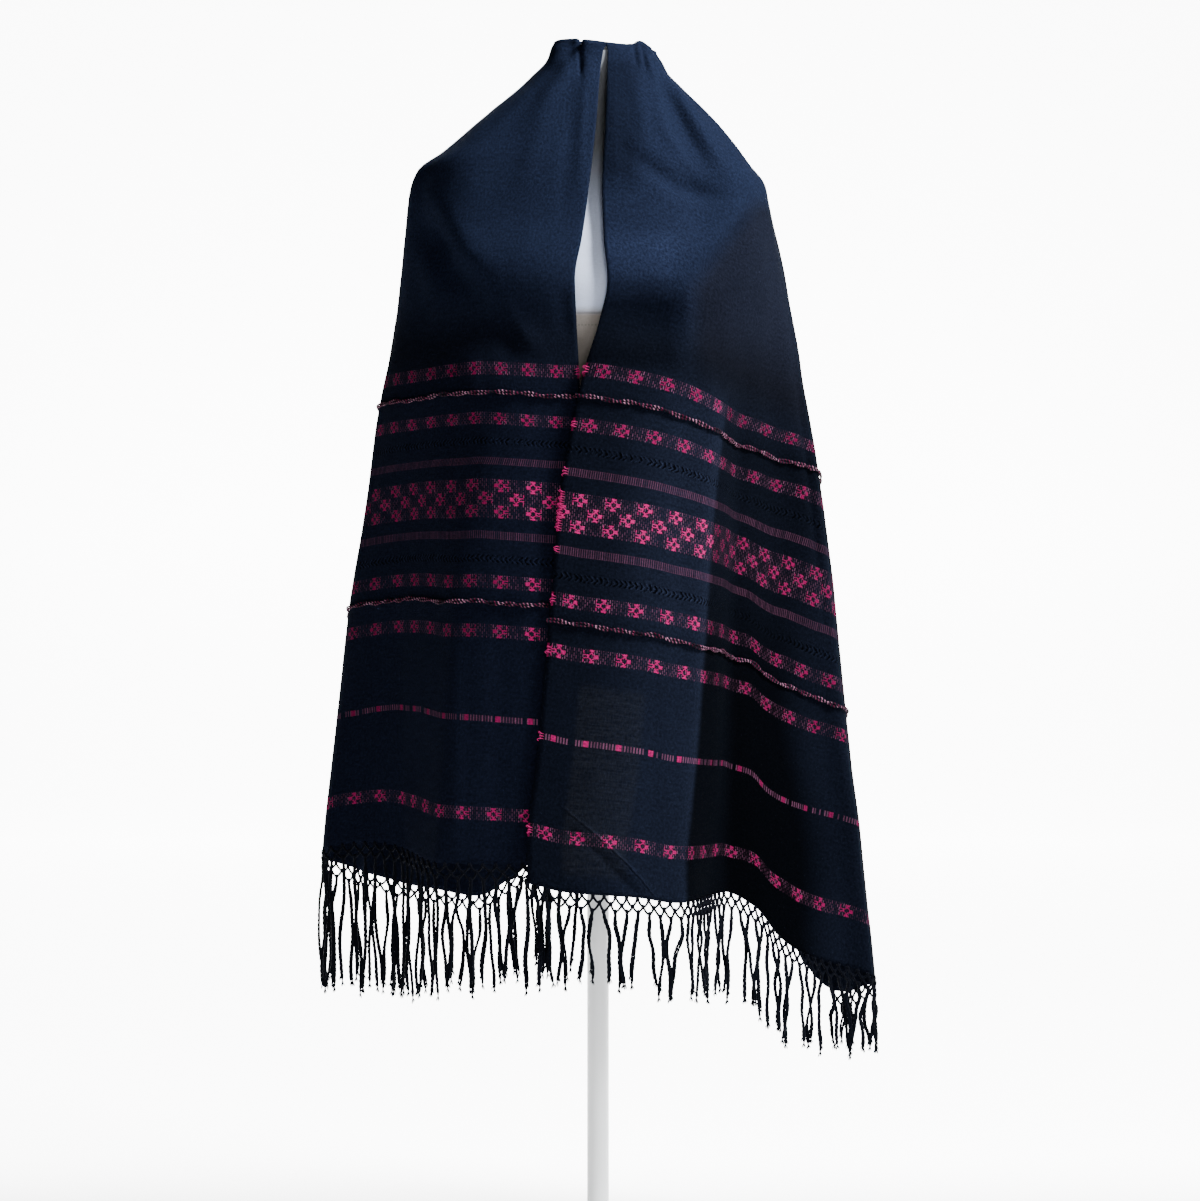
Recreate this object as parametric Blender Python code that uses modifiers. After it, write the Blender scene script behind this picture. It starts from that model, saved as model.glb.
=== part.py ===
"""Rebozo shawl worn round the neck of a limbless dress form that stands on a pole and a round base.

The frame: metres, +Z up, the floor at z = 0, the pole's axis on Z, the front of the form towards -Y.
Heights on the cloth are given as a drop, measured down from the cloth's top rim at the neck.
Each half of the cloth runs from its front edge (across = 0), round its side, to the centre of the back
(across = 1). A fold moves the cloth in or out of the smooth section of its height.
"""

import math
from bisect import bisect_right
from collections import namedtuple

import bmesh
import bpy
from mathutils import Vector

# ---------------------------------------------------------------- driving sizes
RIM_HEIGHT = 1.40          # floor to the top of the cloth at the neck
CLOTH = 0.0018             # wall of the woven cloth
CORD_RISE = 0.0024         # how far the twisted weft cords stand off the cloth
CLOTH_WIDTH = 0.72         # selvage to selvage, which is the length of each fringed end
SEAM_GAP = 0.0003          # between neighbouring solids
NET_GAP = 0.0006           # between the hem and the header of the net
OVERLAP_LIFT = 0.0095      # the right front hangs this far in front of the left one

LEFT, RIGHT = -1, 1

# The smooth section of the cloth at each drop: half widths on the left and right, and how far its front
# and back stand from the pole's axis. The last two say how far behind the axis each side is widest.
Level = namedtuple("Level", "drop left right front back left_middle right_middle")
LEVELS = [
    Level(0.000, 0.0490, 0.0560, 0.0560, 0.0560, 0.000, 0.000),
    Level(0.015, 0.0493, 0.0650, 0.0570, 0.0570, 0.000, 0.000),
    Level(0.030, 0.0545, 0.0800, 0.0620, 0.0620, 0.000, 0.000),
    Level(0.046, 0.0790, 0.0940, 0.0710, 0.0710, 0.000, 0.000),
    Level(0.069, 0.1130, 0.1150, 0.0830, 0.0835, 0.000, 0.000),
    Level(0.090, 0.1420, 0.1320, 0.0930, 0.0940, 0.000, 0.000),
    Level(0.120, 0.1820, 0.1570, 0.1060, 0.1070, 0.000, 0.000),
    Level(0.140, 0.2075, 0.1740, 0.1140, 0.1140, 0.000, 0.000),
    Level(0.158, 0.2105, 0.1910, 0.1200, 0.1190, 0.000, 0.000),
    Level(0.178, 0.2130, 0.1965, 0.1265, 0.1240, 0.000, 0.000),
    Level(0.215, 0.2170, 0.2050, 0.1350, 0.1310, 0.003, 0.003),
    Level(0.290, 0.2270, 0.2190, 0.1500, 0.1370, 0.008, 0.010),
    Level(0.380, 0.2420, 0.2350, 0.1540, 0.1400, 0.014, 0.018),
    Level(0.490, 0.2610, 0.2520, 0.1530, 0.1420, 0.020, 0.028),
    Level(0.650, 0.2880, 0.2740, 0.1530, 0.1440, 0.028, 0.042),
    Level(0.780, 0.3030, 0.2890, 0.1540, 0.1450, 0.030, 0.050),
    Level(0.925, 0.3180, 0.3080, 0.1560, 0.1460, 0.030, 0.058),
    Level(1.140, 0.3280, 0.3260, 0.1580, 0.1460, 0.030, 0.062),
]

# Where the two front edges hang, as x at each drop. The right one crosses over the left one at the bust.
Edge = namedtuple("Edge", "drop left right")
EDGES = [
    Edge(0.000, 0.0090, 0.0098),
    Edge(0.008, 0.0062, 0.0108),
    Edge(0.110, -0.0025, 0.0080),
    Edge(0.180, -0.0100, 0.0045),
    Edge(0.240, -0.0175, 0.0060),
    Edge(0.285, -0.0245, 0.0100),
    Edge(0.330, -0.0235, 0.0010),
    Edge(0.385, -0.0205, -0.0150),
    Edge(0.450, -0.0190, -0.0285),
    Edge(0.520, -0.0185, -0.0400),
    Edge(0.660, -0.0200, -0.0515),
    Edge(0.800, -0.0220, -0.0640),
    Edge(0.900, -0.0240, -0.0750),
    Edge(1.140, -0.0240, -0.0750),
]

# The line of the first woven band and the fringed hem, as drops, from the front edge to the corner.
Hem = namedtuple("Hem", "across band hem")
HEMS = {
    LEFT: [
        Hem(0.000, 0.394, 0.918),
        Hem(0.060, 0.392, 0.920),
        Hem(0.170, 0.389, 0.921),
        Hem(0.215, 0.389, 0.914),
        Hem(0.270, 0.390, 0.909),
        Hem(0.370, 0.391, 0.914),
        Hem(0.490, 0.393, 0.925),
        Hem(0.620, 0.400, 0.946),
        Hem(0.757, 0.410, 0.975),
        Hem(0.850, 0.420, 0.990),
        Hem(0.900, 0.418, 0.968),
        Hem(0.930, 0.412, 0.945),
    ],
    RIGHT: [
        Hem(0.000, 0.392, 0.940),
        Hem(0.035, 0.395, 0.948),
        Hem(0.115, 0.406, 0.955),
        Hem(0.150, 0.413, 0.961),
        Hem(0.207, 0.427, 0.962),
        Hem(0.250, 0.438, 0.982),
        Hem(0.280, 0.443, 1.018),
        Hem(0.316, 0.449, 1.040),
        Hem(0.371, 0.455, 1.055),
        Hem(0.526, 0.470, 1.074),
        Hem(0.620, 0.480, 1.090),
        Hem(0.700, 0.485, 1.104),
    ],
}

# The lower selvage across the back, from each corner to the centre of the back, as drops.
Selvage = namedtuple("Selvage", "across band hem")
SELVAGES = {
    LEFT: [Selvage(0.930, 0.412, 0.945), Selvage(0.965, 0.396, 0.790), Selvage(1.0, 0.385, 0.715)],
    RIGHT: [
        Selvage(0.700, 0.485, 1.104),
        Selvage(0.770, 0.460, 1.030),
        Selvage(0.850, 0.425, 0.880),
        Selvage(0.930, 0.396, 0.760),
        Selvage(1.0, 0.385, 0.715),
    ],
}

# Flutes that start at nothing and grow towards the hem. start and end are drops, at_start and at_end the
# places across, width their half width across, and out how far they stand out at the end.
Flute = namedtuple("Flute", "side start end at_start at_end width out power")
FLUTES = [
    Flute(LEFT, 0.16, 0.95, 0.540, 0.590, 0.034, 0.016, 1.0),
    Flute(LEFT, 0.18, 0.90, 0.640, 0.700, 0.036, 0.027, 1.1),
    Flute(LEFT, 0.20, 0.85, 0.760, 0.800, 0.036, 0.028, 1.1),
    Flute(LEFT, 0.16, 0.80, 0.880, 0.900, 0.038, 0.028, 1.0),
    Flute(RIGHT, 0.17, 1.00, 0.560, 0.610, 0.034, 0.014, 1.0),
    Flute(RIGHT, 0.18, 0.95, 0.650, 0.700, 0.036, 0.028, 1.1),
    Flute(RIGHT, 0.22, 0.80, 0.770, 0.815, 0.038, 0.032, 1.1),
    Flute(RIGHT, 0.16, 0.75, 0.890, 0.930, 0.036, 0.030, 1.0),
]

# Soft folds that rise and die away again between two drops. A negative out is a trough.
Soft = namedtuple("Soft", "side start end at_start at_end width out")
SOFT_FOLDS = [
    Soft(LEFT, -0.05, 0.13, 0.155, 0.150, 0.040, 0.0045),
    Soft(LEFT, 0.02, 0.34, 0.300, 0.150, 0.060, 0.0060),
    Soft(LEFT, 0.05, 0.30, 0.420, 0.330, 0.045, -0.0045),
    Soft(LEFT, 0.30, 0.90, 0.120, 0.100, 0.060, 0.0040),
    Soft(RIGHT, -0.06, 0.20, 0.330, 0.250, 0.050, 0.0080),
    Soft(RIGHT, -0.06, 0.16, 0.440, 0.400, 0.050, 0.0060),
    Soft(RIGHT, 0.03, 0.30, 0.200, 0.170, 0.045, -0.0080),
    Soft(RIGHT, 0.06, 0.40, 0.340, 0.260, 0.050, 0.0060),
    Soft(RIGHT, 0.30, 0.85, 0.330, 0.290, 0.050, -0.0060),
]

# Step folds of the front: past the line x = at, the cloth falls back by depth over twice the softness.
Step = namedtuple("Step", "side drop at softness depth")
STEPS = {
    LEFT: [
        Step(LEFT, 0.36, 0.150, 0.060, 0.000),
        Step(LEFT, 0.50, 0.172, 0.045, 0.022),
        Step(LEFT, 0.70, 0.190, 0.032, 0.045),
        Step(LEFT, 0.92, 0.200, 0.028, 0.066),
        Step(LEFT, 1.14, 0.202, 0.028, 0.068),
    ],
    RIGHT: [
        Step(RIGHT, 0.24, 0.150, 0.050, 0.000),
        Step(RIGHT, 0.42, 0.144, 0.020, 0.038),
        Step(RIGHT, 0.52, 0.138, 0.022, 0.056),
        Step(RIGHT, 0.75, 0.128, 0.026, 0.080),
        Step(RIGHT, 0.96, 0.118, 0.030, 0.096),
        Step(RIGHT, 1.14, 0.116, 0.030, 0.098),
    ],
}
STEP_FADE = 0.62           # a step closes again where the section turns past this cosine to the side

# Distances of the raised cords above the hem, and of the first band, which the rows of the mesh follow.
BAND_ABOVE_HEM = 0.560
CORDS_ABOVE_HEM = (0.532, 0.288)
CORD_HALF = 0.0048

# Where the stretches of the cloth meet at each side, and the columns of mesh of the front, of the wrapped
# end behind it and of the selvage from there to the centre of the back.
SideSeam = namedtuple("SideSeam", "across front wrap selvage")
SIDE_SEAMS = {LEFT: SideSeam(0.49, 20, 16, 3), RIGHT: SideSeam(0.50, 24, 8, 10)}

# Rows of the mesh: drops near the neck and shoulders, then shares of the way from the band to the hem.
TOP_DROPS = (0.0, 0.015, 0.030, 0.052, 0.078, 0.110, 0.140, 0.159, 0.182, 0.240, 0.315)
PLAIN_ABOVE_HEM = (0.410, 0.150, 0.0)

# ---------------------------------------------------------------- net and fringe
NET_CELLS = 41
HEADER = 0.0036            # height of the knotted header under the hem
NET_ROW = 0.0080           # height of one row of the net
KNOT_HALF = 0.0022
CORD_WIDTH = 0.0016        # half of what leaves the header at each place
YARN = 0.0022              # thickness of the net and the strands
STRAND_HALF = 0.0012
STRAND_VARIES = 0.012
CLUMP_PITCH = 0.062        # neighbouring strands lean together, one bunch for each pitch
CLUMP_LEAN = 0.0058

# How far the strands reach below the hem along each end, from the front edge to the back corner.
Reach = namedtuple("Reach", "along length")
REACHES = {
    LEFT: [
        Reach(0.00, 0.110), Reach(0.12, 0.125), Reach(0.25, 0.160), Reach(0.38, 0.150),
        Reach(0.55, 0.125), Reach(0.66, 0.112), Reach(0.72, 0.120),
    ],
    RIGHT: [
        Reach(0.00, 0.108), Reach(0.06, 0.090), Reach(0.20, 0.100), Reach(0.34, 0.112),
        Reach(0.44, 0.100), Reach(0.54, 0.078), Reach(0.72, 0.062),
    ],
}

# ---------------------------------------------------------------- the dress form
Section = namedtuple("Section", "drop half front back")
TORSO = [
    Section(0.012, 0.0484, 0.0553, 0.0553),
    Section(0.040, 0.0484, 0.0553, 0.0553),
    Section(0.060, 0.0600, 0.0590, 0.0600),
    Section(0.078, 0.0900, 0.0650, 0.0680),
    Section(0.100, 0.1260, 0.0740, 0.0800),
    Section(0.125, 0.1560, 0.0860, 0.0920),
    Section(0.148, 0.1760, 0.0960, 0.0990),
    Section(0.170, 0.1880, 0.1060, 0.1050),
    Section(0.200, 0.1850, 0.1190, 0.1100),
    Section(0.240, 0.1700, 0.1340, 0.1120),
    Section(0.290, 0.1620, 0.1455, 0.1120),
    Section(0.340, 0.1560, 0.1390, 0.1060),
    Section(0.400, 0.1420, 0.1160, 0.0970),
    Section(0.460, 0.1300, 0.1000, 0.0900),
    Section(0.540, 0.1420, 0.0980, 0.0990),
    Section(0.620, 0.1560, 0.1020, 0.1110),
    Section(0.690, 0.1600, 0.1020, 0.1150),
    Section(0.712, 0.1570, 0.0980, 0.1120),
]
TORSO_SIDES = 30
CAP_HEIGHT = 0.005
FLANGE_RADIUS = 0.045
FLANGE_HEIGHT = 0.006
POLE_RADIUS = 0.0125
HUB_RADIUS = 0.024
HUB_HEIGHT = 0.030
BASE_RADIUS = 0.190
BASE_HEIGHT = 0.012
ROUND_SIDES = 36

INDIGO = (0.010, 0.016, 0.030, 1.0)
YARN_BLACK = (0.008, 0.009, 0.014, 1.0)
LINEN = (0.62, 0.59, 0.53, 1.0)
WHITE_PAINT = (0.80, 0.80, 0.79, 1.0)


# ---------------------------------------------------------------- reading the tables
def smooth_read(rows, key, value, column):
    """A column of a table at a value of its key, on a smooth curve through the rows."""
    keys = [getattr(row, key) for row in rows]
    found = [getattr(row, column) for row in rows]
    value = min(max(value, keys[0]), keys[-1])
    i = min(max(bisect_right(keys, value) - 1, 0), len(keys) - 2)
    span = keys[i + 1] - keys[i]
    share = (value - keys[i]) / span

    def slope(j):
        if j == 0 or j == len(keys) - 1:
            return 0.0 if len(keys) > 2 else (found[1] - found[0]) / (keys[1] - keys[0])
        before = (found[j] - found[j - 1]) / (keys[j] - keys[j - 1])
        after = (found[j + 1] - found[j]) / (keys[j + 1] - keys[j])
        if before * after <= 0:
            return 0.0
        return 2 * before * after / (before + after)

    a, b = found[i], found[i + 1]
    rise_a, rise_b = slope(i) * span, slope(i + 1) * span
    s2, s3 = share * share, share ** 3
    return (
        a * (2 * s3 - 3 * s2 + 1)
        + rise_a * (s3 - 2 * s2 + share)
        + b * (3 * s2 - 2 * s3)
        + rise_b * (s3 - s2)
    )


def ease(x):
    x = min(max(x, 0.0), 1.0)
    return x * x * (3 - 2 * x)


def bell(x):
    return math.exp(-x * x)


# ---------------------------------------------------------------- the form of the cloth
def fold_out(side, across, drop):
    """How far the folds move the cloth out of its smooth section."""
    out = 0.0
    for f in FLUTES:
        if f.side == side or across > 1.0 - 3 * f.width:
            share = min(max((drop - f.start) / (f.end - f.start), 0.0), 1.15)
            at = f.at_start + (f.at_end - f.at_start) * min(share, 1.0)
            place = across if f.side == side else 2.0 - across
            out += f.out * share ** f.power * bell((place - at) / f.width)
    for f in SOFT_FOLDS:
        share = (drop - f.start) / (f.end - f.start)
        if f.side == side and 0.0 < share < 1.0:
            at = f.at_start + (f.at_end - f.at_start) * share
            out += f.out * math.sin(math.pi * share) * bell((across - at) / f.width)
    return out


def cloth_point(side, across, drop):
    """A point of the cloth's inner face."""
    half = smooth_read(LEVELS, "drop", drop, "left" if side == LEFT else "right")
    front = smooth_read(LEVELS, "drop", drop, "front")
    back = smooth_read(LEVELS, "drop", drop, "back")
    middle = smooth_read(LEVELS, "drop", drop, "left_middle" if side == LEFT else "right_middle")
    edge = smooth_read(EDGES, "drop", drop, "left" if side == LEFT else "right")
    first = math.asin(side * edge / half)
    angle = first + across * (math.pi - first)
    c, s = math.cos(angle), math.sin(angle)
    depth = front + middle if c > 0 else back - middle
    normal = Vector((depth * s * side, -half * c)).normalized()
    x, y = side * half * s, middle - depth * c
    out = fold_out(side, across, drop)
    if side == RIGHT:
        out += OVERLAP_LIFT * ease((drop - 0.30) / 0.07) * ease((0.34 - across) / 0.22)
    x, y = x + normal.x * out, y + normal.y * out
    if c > 0:
        rows = STEPS[side]
        fall = smooth_read(rows, "drop", drop, "depth")
        at = smooth_read(rows, "drop", drop, "at")
        soft = smooth_read(rows, "drop", drop, "softness")
        y += fall * ease((abs(x) - at + soft) / (2 * soft)) * ease(c / STEP_FADE)
    return Vector((x, y, RIM_HEIGHT - drop))


def edge_rows(side, across):
    """The table that rules the cloth's lower edge at this place."""
    return HEMS[side] if across <= HEMS[side][-1].across else SELVAGES[side]


def hem_drop(side, across):
    return smooth_read(edge_rows(side, across), "across", across, "hem")


def band_drop(side, across):
    return smooth_read(edge_rows(side, across), "across", across, "band")


def row_drop(side, across, row):
    """The drop of a row: a fixed one near the neck, then one that follows the band and the hem."""
    kind, value = row
    if kind == "top":
        return value
    band, hem = band_drop(side, across), hem_drop(side, across)
    return hem + (band - hem) * value / BAND_ABOVE_HEM


def mesh_rows():
    """Every row of the cloth's mesh from the rim to the hem, and how far each stands out as a cord."""
    above = {s: 0.0 for s in PLAIN_ABOVE_HEM}
    for cord in CORDS_ABOVE_HEM:
        above.update({cord - 1.9 * CORD_HALF: 0.0, cord: 1.0, cord + 1.9 * CORD_HALF: 0.0})
    rows = [(("top", drop), 0.0) for drop in TOP_DROPS]
    rows += [(("above", s), above[s]) for s in sorted(above, reverse=True)]
    return rows


# ---------------------------------------------------------------- making objects
def material(name, colour, roughness, metallic=0.0):
    made = bpy.data.materials.new(name)
    made.use_nodes = True
    shader = made.node_tree.nodes["Principled BSDF"]
    shader.inputs["Base Color"].default_value = colour
    shader.inputs["Roughness"].default_value = roughness
    shader.inputs["Metallic"].default_value = metallic
    return made


def add_object(name, bm, collection, finish):
    mesh = bpy.data.meshes.new(name)
    bm.to_mesh(mesh)
    bm.free()
    mesh.shade_smooth()
    made = bpy.data.objects.new(name, mesh)
    made.data.materials.append(finish)
    collection.objects.link(made)
    return made


def nudged(side, across, drop, distance):
    """The place across that lies a distance further round than across."""
    tiny = 1e-4
    step = cloth_point(side, across, drop) - cloth_point(side, across - tiny, drop)
    return across + distance * tiny / max(step.length, 1e-9)


def cloth_panel(name, places, collection, finish):
    """One stretch of the cloth. places are (side, across, nudge) for each column of its mesh."""
    rows = mesh_rows()
    columns = len(places) - 1
    bm = bmesh.new()
    bmesh.ops.create_grid(bm, x_segments=columns, y_segments=len(rows) - 1, size=0.5)
    lifts = {}
    for vert in bm.verts:
        side, across, nudge = places[round((vert.co.x + 0.5) * columns)]
        row, cord = rows[round((0.5 - vert.co.y) * (len(rows) - 1))]
        corner = HEMS[side][-1].across
        drop = row_drop(side, across, row)
        if nudge:
            across = nudged(side, across, drop, nudge)
        vert.co = cloth_point(side, across, drop)
        lifts[vert.index] = cord * ease((corner + 0.02 - across) / 0.04)
    bmesh.ops.recalc_face_normals(bm, faces=bm.faces)
    bm.faces.ensure_lookup_table()
    middle = bm.faces[len(bm.faces) // 2]
    outward = middle.calc_center_median() - Vector((0.0, 0.0, RIM_HEIGHT))
    if middle.normal.dot(Vector((outward.x, outward.y, 0.0))) < 0:
        bmesh.ops.reverse_faces(bm, faces=bm.faces)
    made = add_object(name, bm, collection, finish)
    group = made.vertex_groups.new(name="wall")
    whole = CLOTH + CORD_RISE
    for index, lift in lifts.items():
        group.add([index], (CLOTH + CORD_RISE * lift) / whole, "REPLACE")
    wall = made.modifiers.new("wall", "SOLIDIFY")
    wall.thickness = whole
    wall.offset = 1.0
    wall.vertex_group = "wall"
    return made


def spread(first, last, count):
    return [first + (last - first) * i / count for i in range(count + 1)]


def front_columns(side):
    """Columns of a front stretch, from its edge to the side seam."""
    return spread(0.0, SIDE_SEAMS[side].across, SIDE_SEAMS[side].front)


def front_places(side):
    gap = SEAM_GAP / 2
    places = [(side, across, 0.0) for across in front_columns(side)]
    return places[:-1] + [(side, SIDE_SEAMS[side].across, -gap)]


def wrap_columns(side):
    """Columns of the back stretch along the hem, from the side seam to the corner."""
    return spread(SIDE_SEAMS[side].across, HEMS[side][-1].across, SIDE_SEAMS[side].wrap)


def back_places():
    """Columns from the left side, round the back, to the right side."""
    gap = SEAM_GAP / 2
    left = wrap_columns(LEFT)[:-1] + spread(HEMS[LEFT][-1].across, 1.0, SIDE_SEAMS[LEFT].selvage)
    right = wrap_columns(RIGHT)[:-1] + spread(HEMS[RIGHT][-1].across, 1.0, SIDE_SEAMS[RIGHT].selvage)
    places = [(LEFT, across, 0.0) for across in left]
    places += [(RIGHT, across, 0.0) for across in reversed(right[:-1])]
    places[0] = (LEFT, left[0], gap)
    places[-1] = (RIGHT, right[0], gap)
    return places


# ---------------------------------------------------------------- net and fringe
class HemLine:
    """The hem of one end, straight between the columns of the cloth's mesh as the cloth itself is."""

    def __init__(self, side, columns):
        self.points = [cloth_point(side, across, hem_drop(side, across)) for across in columns]
        self.lengths = [0.0]
        for before, here in zip(self.points, self.points[1:]):
            self.lengths.append(self.lengths[-1] + (here - before).length)

    def point(self, along, below):
        """A point under the hem. along is measured as in the flat cloth, from 0 to its width."""
        wanted = min(max(along / CLOTH_WIDTH, 0.0), 1.0) * self.lengths[-1]
        i = min(max(bisect_right(self.lengths, wanted) - 1, 0), len(self.points) - 2)
        part = (wanted - self.lengths[i]) / (self.lengths[i + 1] - self.lengths[i])
        hem = self.points[i].lerp(self.points[i + 1], part)
        return Vector((hem.x, hem.y, hem.z - NET_GAP - below))


def strand_lean(along, fall):
    """How far a strand leans along the hem, so that neighbours bunch together."""
    return -CLUMP_LEAN * math.sin(2 * math.pi * along / CLUMP_PITCH) * fall


def strand_reach(side, along, index):
    """How far below the hem a strand ends, uneven but the same each run."""
    wave = math.sin(index * 2.399 + side) + 0.6 * math.sin(index * 0.731 + 2.0 * side)
    return smooth_read(REACHES[side], "along", along, "length") + STRAND_VARIES * wave / 1.6


def fringe(name, side, columns, collection, finish):
    """The knotted net and the strands of one end, drawn flat along the hem and given the yarn's thickness."""
    line = HemLine(side, columns)
    pitch = (CLOTH_WIDTH - 2 * CORD_WIDTH) / NET_CELLS
    bm = bmesh.new()

    def vert(along, below):
        return bm.verts.new(line.point(along, below))

    places = [CORD_WIDTH + i * pitch for i in range(NET_CELLS + 1)]
    cords = [(place - CORD_WIDTH, place, place + CORD_WIDTH) for place in places]
    corners = [
        length * CLOTH_WIDTH / line.lengths[-1]
        for length in line.lengths
        if min(abs(length * CLOTH_WIDTH / line.lengths[-1] - place) for place in places) > 1.5 * CORD_WIDTH
    ]
    stations = sorted({along for cord in cords for along in cord} | set(corners))
    tops = [vert(along, 0.0) for along in stations]
    bottoms = {along: vert(along, HEADER) for along in stations}
    for i, (first, second) in enumerate(zip(stations, stations[1:])):
        bm.faces.new((tops[i], bottoms[first], bottoms[second], tops[i + 1]))

    def knot(along, below):
        n = vert(along, below - KNOT_HALF)
        e = vert(along + KNOT_HALF, below)
        s = vert(along, below + KNOT_HALF)
        w = vert(along - KNOT_HALF, below)
        bm.faces.new((n, w, s, e))
        return n, e, s, w

    first_row = HEADER + NET_ROW
    second_row = first_row + NET_ROW
    upper = [knot(CORD_WIDTH + (i + 0.5) * pitch, first_row) for i in range(NET_CELLS)]
    inset = KNOT_HALF - CORD_WIDTH
    places[0] += inset
    places[-1] -= inset
    lower = [knot(along, second_row) for along in places]
    for i, (n, e, s, w) in enumerate(upper):
        start, end = cords[i], cords[i + 1]
        bm.faces.new((bottoms[start[1]], w, n, bottoms[start[2]]))
        bm.faces.new((bottoms[end[0]], n, e, bottoms[end[1]]))
        left, right = lower[i], lower[i + 1]
        bm.faces.new((w, left[0], left[1], s))
        bm.faces.new((s, right[3], right[0], e))

    for i, (n, e, s, w) in enumerate(lower):
        for j, (first, second) in enumerate(((w, s), (s, e))):
            along = places[i] + (2 * j - 1) * 1.9 * STRAND_HALF
            centre = along + strand_lean(along, 1.0)
            below = strand_reach(side, along, 2 * i + j)
            low = (vert(centre - STRAND_HALF, below), vert(centre + STRAND_HALF, below))
            bm.faces.new((first, low[0], low[1], second))

    bmesh.ops.recalc_face_normals(bm, faces=bm.faces)
    made = add_object(name, bm, collection, finish)
    yarn = made.modifiers.new("yarn", "SOLIDIFY")
    yarn.thickness = YARN
    yarn.offset = 0.0
    return made


# ---------------------------------------------------------------- the dress form
def torso(collection, finish):
    """The smooth torso: a drum whose rings are moved out to the sections of the table."""
    rings = len(TORSO) - 1
    bm = bmesh.new()
    bmesh.ops.create_cone(
        bm, cap_ends=True, segments=TORSO_SIDES, radius1=1.0, radius2=1.0, depth=1.0
    )
    uprights = [e for e in bm.edges if abs(e.verts[0].co.z - e.verts[1].co.z) > 0.5]
    bmesh.ops.subdivide_edges(bm, edges=uprights, cuts=rings - 1, use_grid_fill=True)
    for v in bm.verts:
        place = (0.5 - v.co.z) * (len(TORSO) - 1)
        i = min(int(place + 1e-6), len(TORSO) - 2)
        part = place - i
        drop = TORSO[i].drop + (TORSO[i + 1].drop - TORSO[i].drop) * part
        half = smooth_read(TORSO, "drop", drop, "half")
        depth = smooth_read(TORSO, "drop", drop, "front" if v.co.y < 0 else "back")
        v.co = Vector((v.co.x * half, v.co.y * depth, RIM_HEIGHT - drop))
    return add_object("form_torso", bm, collection, finish)


def disc(name, radius, low, high, bevel, collection, finish, depth=None):
    """A round upright piece between two heights, its rims eased by a bevel."""
    bpy.ops.mesh.primitive_cylinder_add(
        vertices=ROUND_SIDES, radius=radius, depth=high - low, location=(0, 0, (low + high) / 2)
    )
    made = bpy.context.object
    made.name = name
    made.data.name = name
    if depth:
        for v in made.data.vertices:
            v.co.y *= depth / radius
    for owner in made.users_collection:
        owner.objects.unlink(made)
    collection.objects.link(made)
    made.data.materials.append(finish)
    if bevel:
        eased = made.modifiers.new("eased rims", "BEVEL")
        eased.width = bevel
        eased.segments = 1
        eased.limit_method = "ANGLE"
    made.data.shade_smooth()
    return made


def main():
    for old in list(bpy.data.objects):
        bpy.data.objects.remove(old)
    collection = bpy.data.collections.new("rebozo on a dress form")
    bpy.context.scene.collection.children.link(collection)

    woven = material("woven indigo cotton", INDIGO, 0.9)
    yarn = material("black cotton yarn", YARN_BLACK, 0.85)
    linen = material("linen cover", LINEN, 0.9)
    paint = material("white painted steel", WHITE_PAINT, 0.45)

    cloth_panel("left_front", front_places(LEFT), collection, woven)
    cloth_panel("right_front", front_places(RIGHT), collection, woven)
    cloth_panel("back", back_places(), collection, woven)
    for name, side in (("left_fringe", LEFT), ("right_fringe", RIGHT)):
        fringe(name, side, front_columns(side)[:-1] + wrap_columns(side), collection, yarn)

    torso(collection, linen)
    torso_top = RIM_HEIGHT - TORSO[0].drop
    torso_foot = RIM_HEIGHT - TORSO[-1].drop
    cap_low = torso_top + SEAM_GAP
    disc(
        "form_neck_cap", TORSO[0].half - 0.002, cap_low, cap_low + CAP_HEIGHT, 0.0015,
        collection, linen, depth=TORSO[0].front - 0.002,
    )
    flange_top = torso_foot - SEAM_GAP
    flange_low = flange_top - FLANGE_HEIGHT
    disc("form_flange", FLANGE_RADIUS, flange_low, flange_top, 0.001, collection, paint)
    disc("form_base", BASE_RADIUS, 0.0, BASE_HEIGHT, 0.003, collection, paint)
    hub_low = BASE_HEIGHT + SEAM_GAP
    disc("form_hub", HUB_RADIUS, hub_low, hub_low + HUB_HEIGHT, 0.003, collection, paint)
    pole_low = hub_low + HUB_HEIGHT + SEAM_GAP
    disc("form_pole", POLE_RADIUS, pole_low, flange_low - SEAM_GAP, 0.0, collection, paint)


main()
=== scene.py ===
"""Rebozo shawl worn round the neck of a linen dress form: the cloth, its cords and fringe, and the form.

The cloth is one woven length. It is shaped as a net of points on the smooth drape of the CAD solids, with
its creases laid in one by one. Its bands are woven in a map that measures the cloth itself: metres from the
front selvage, and metres above the fringed hem. Lengths are in metres unless a comment says otherwise.
"""

import math
from collections import namedtuple

import bmesh
import bpy
import numpy as np
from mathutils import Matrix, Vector, noise


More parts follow.
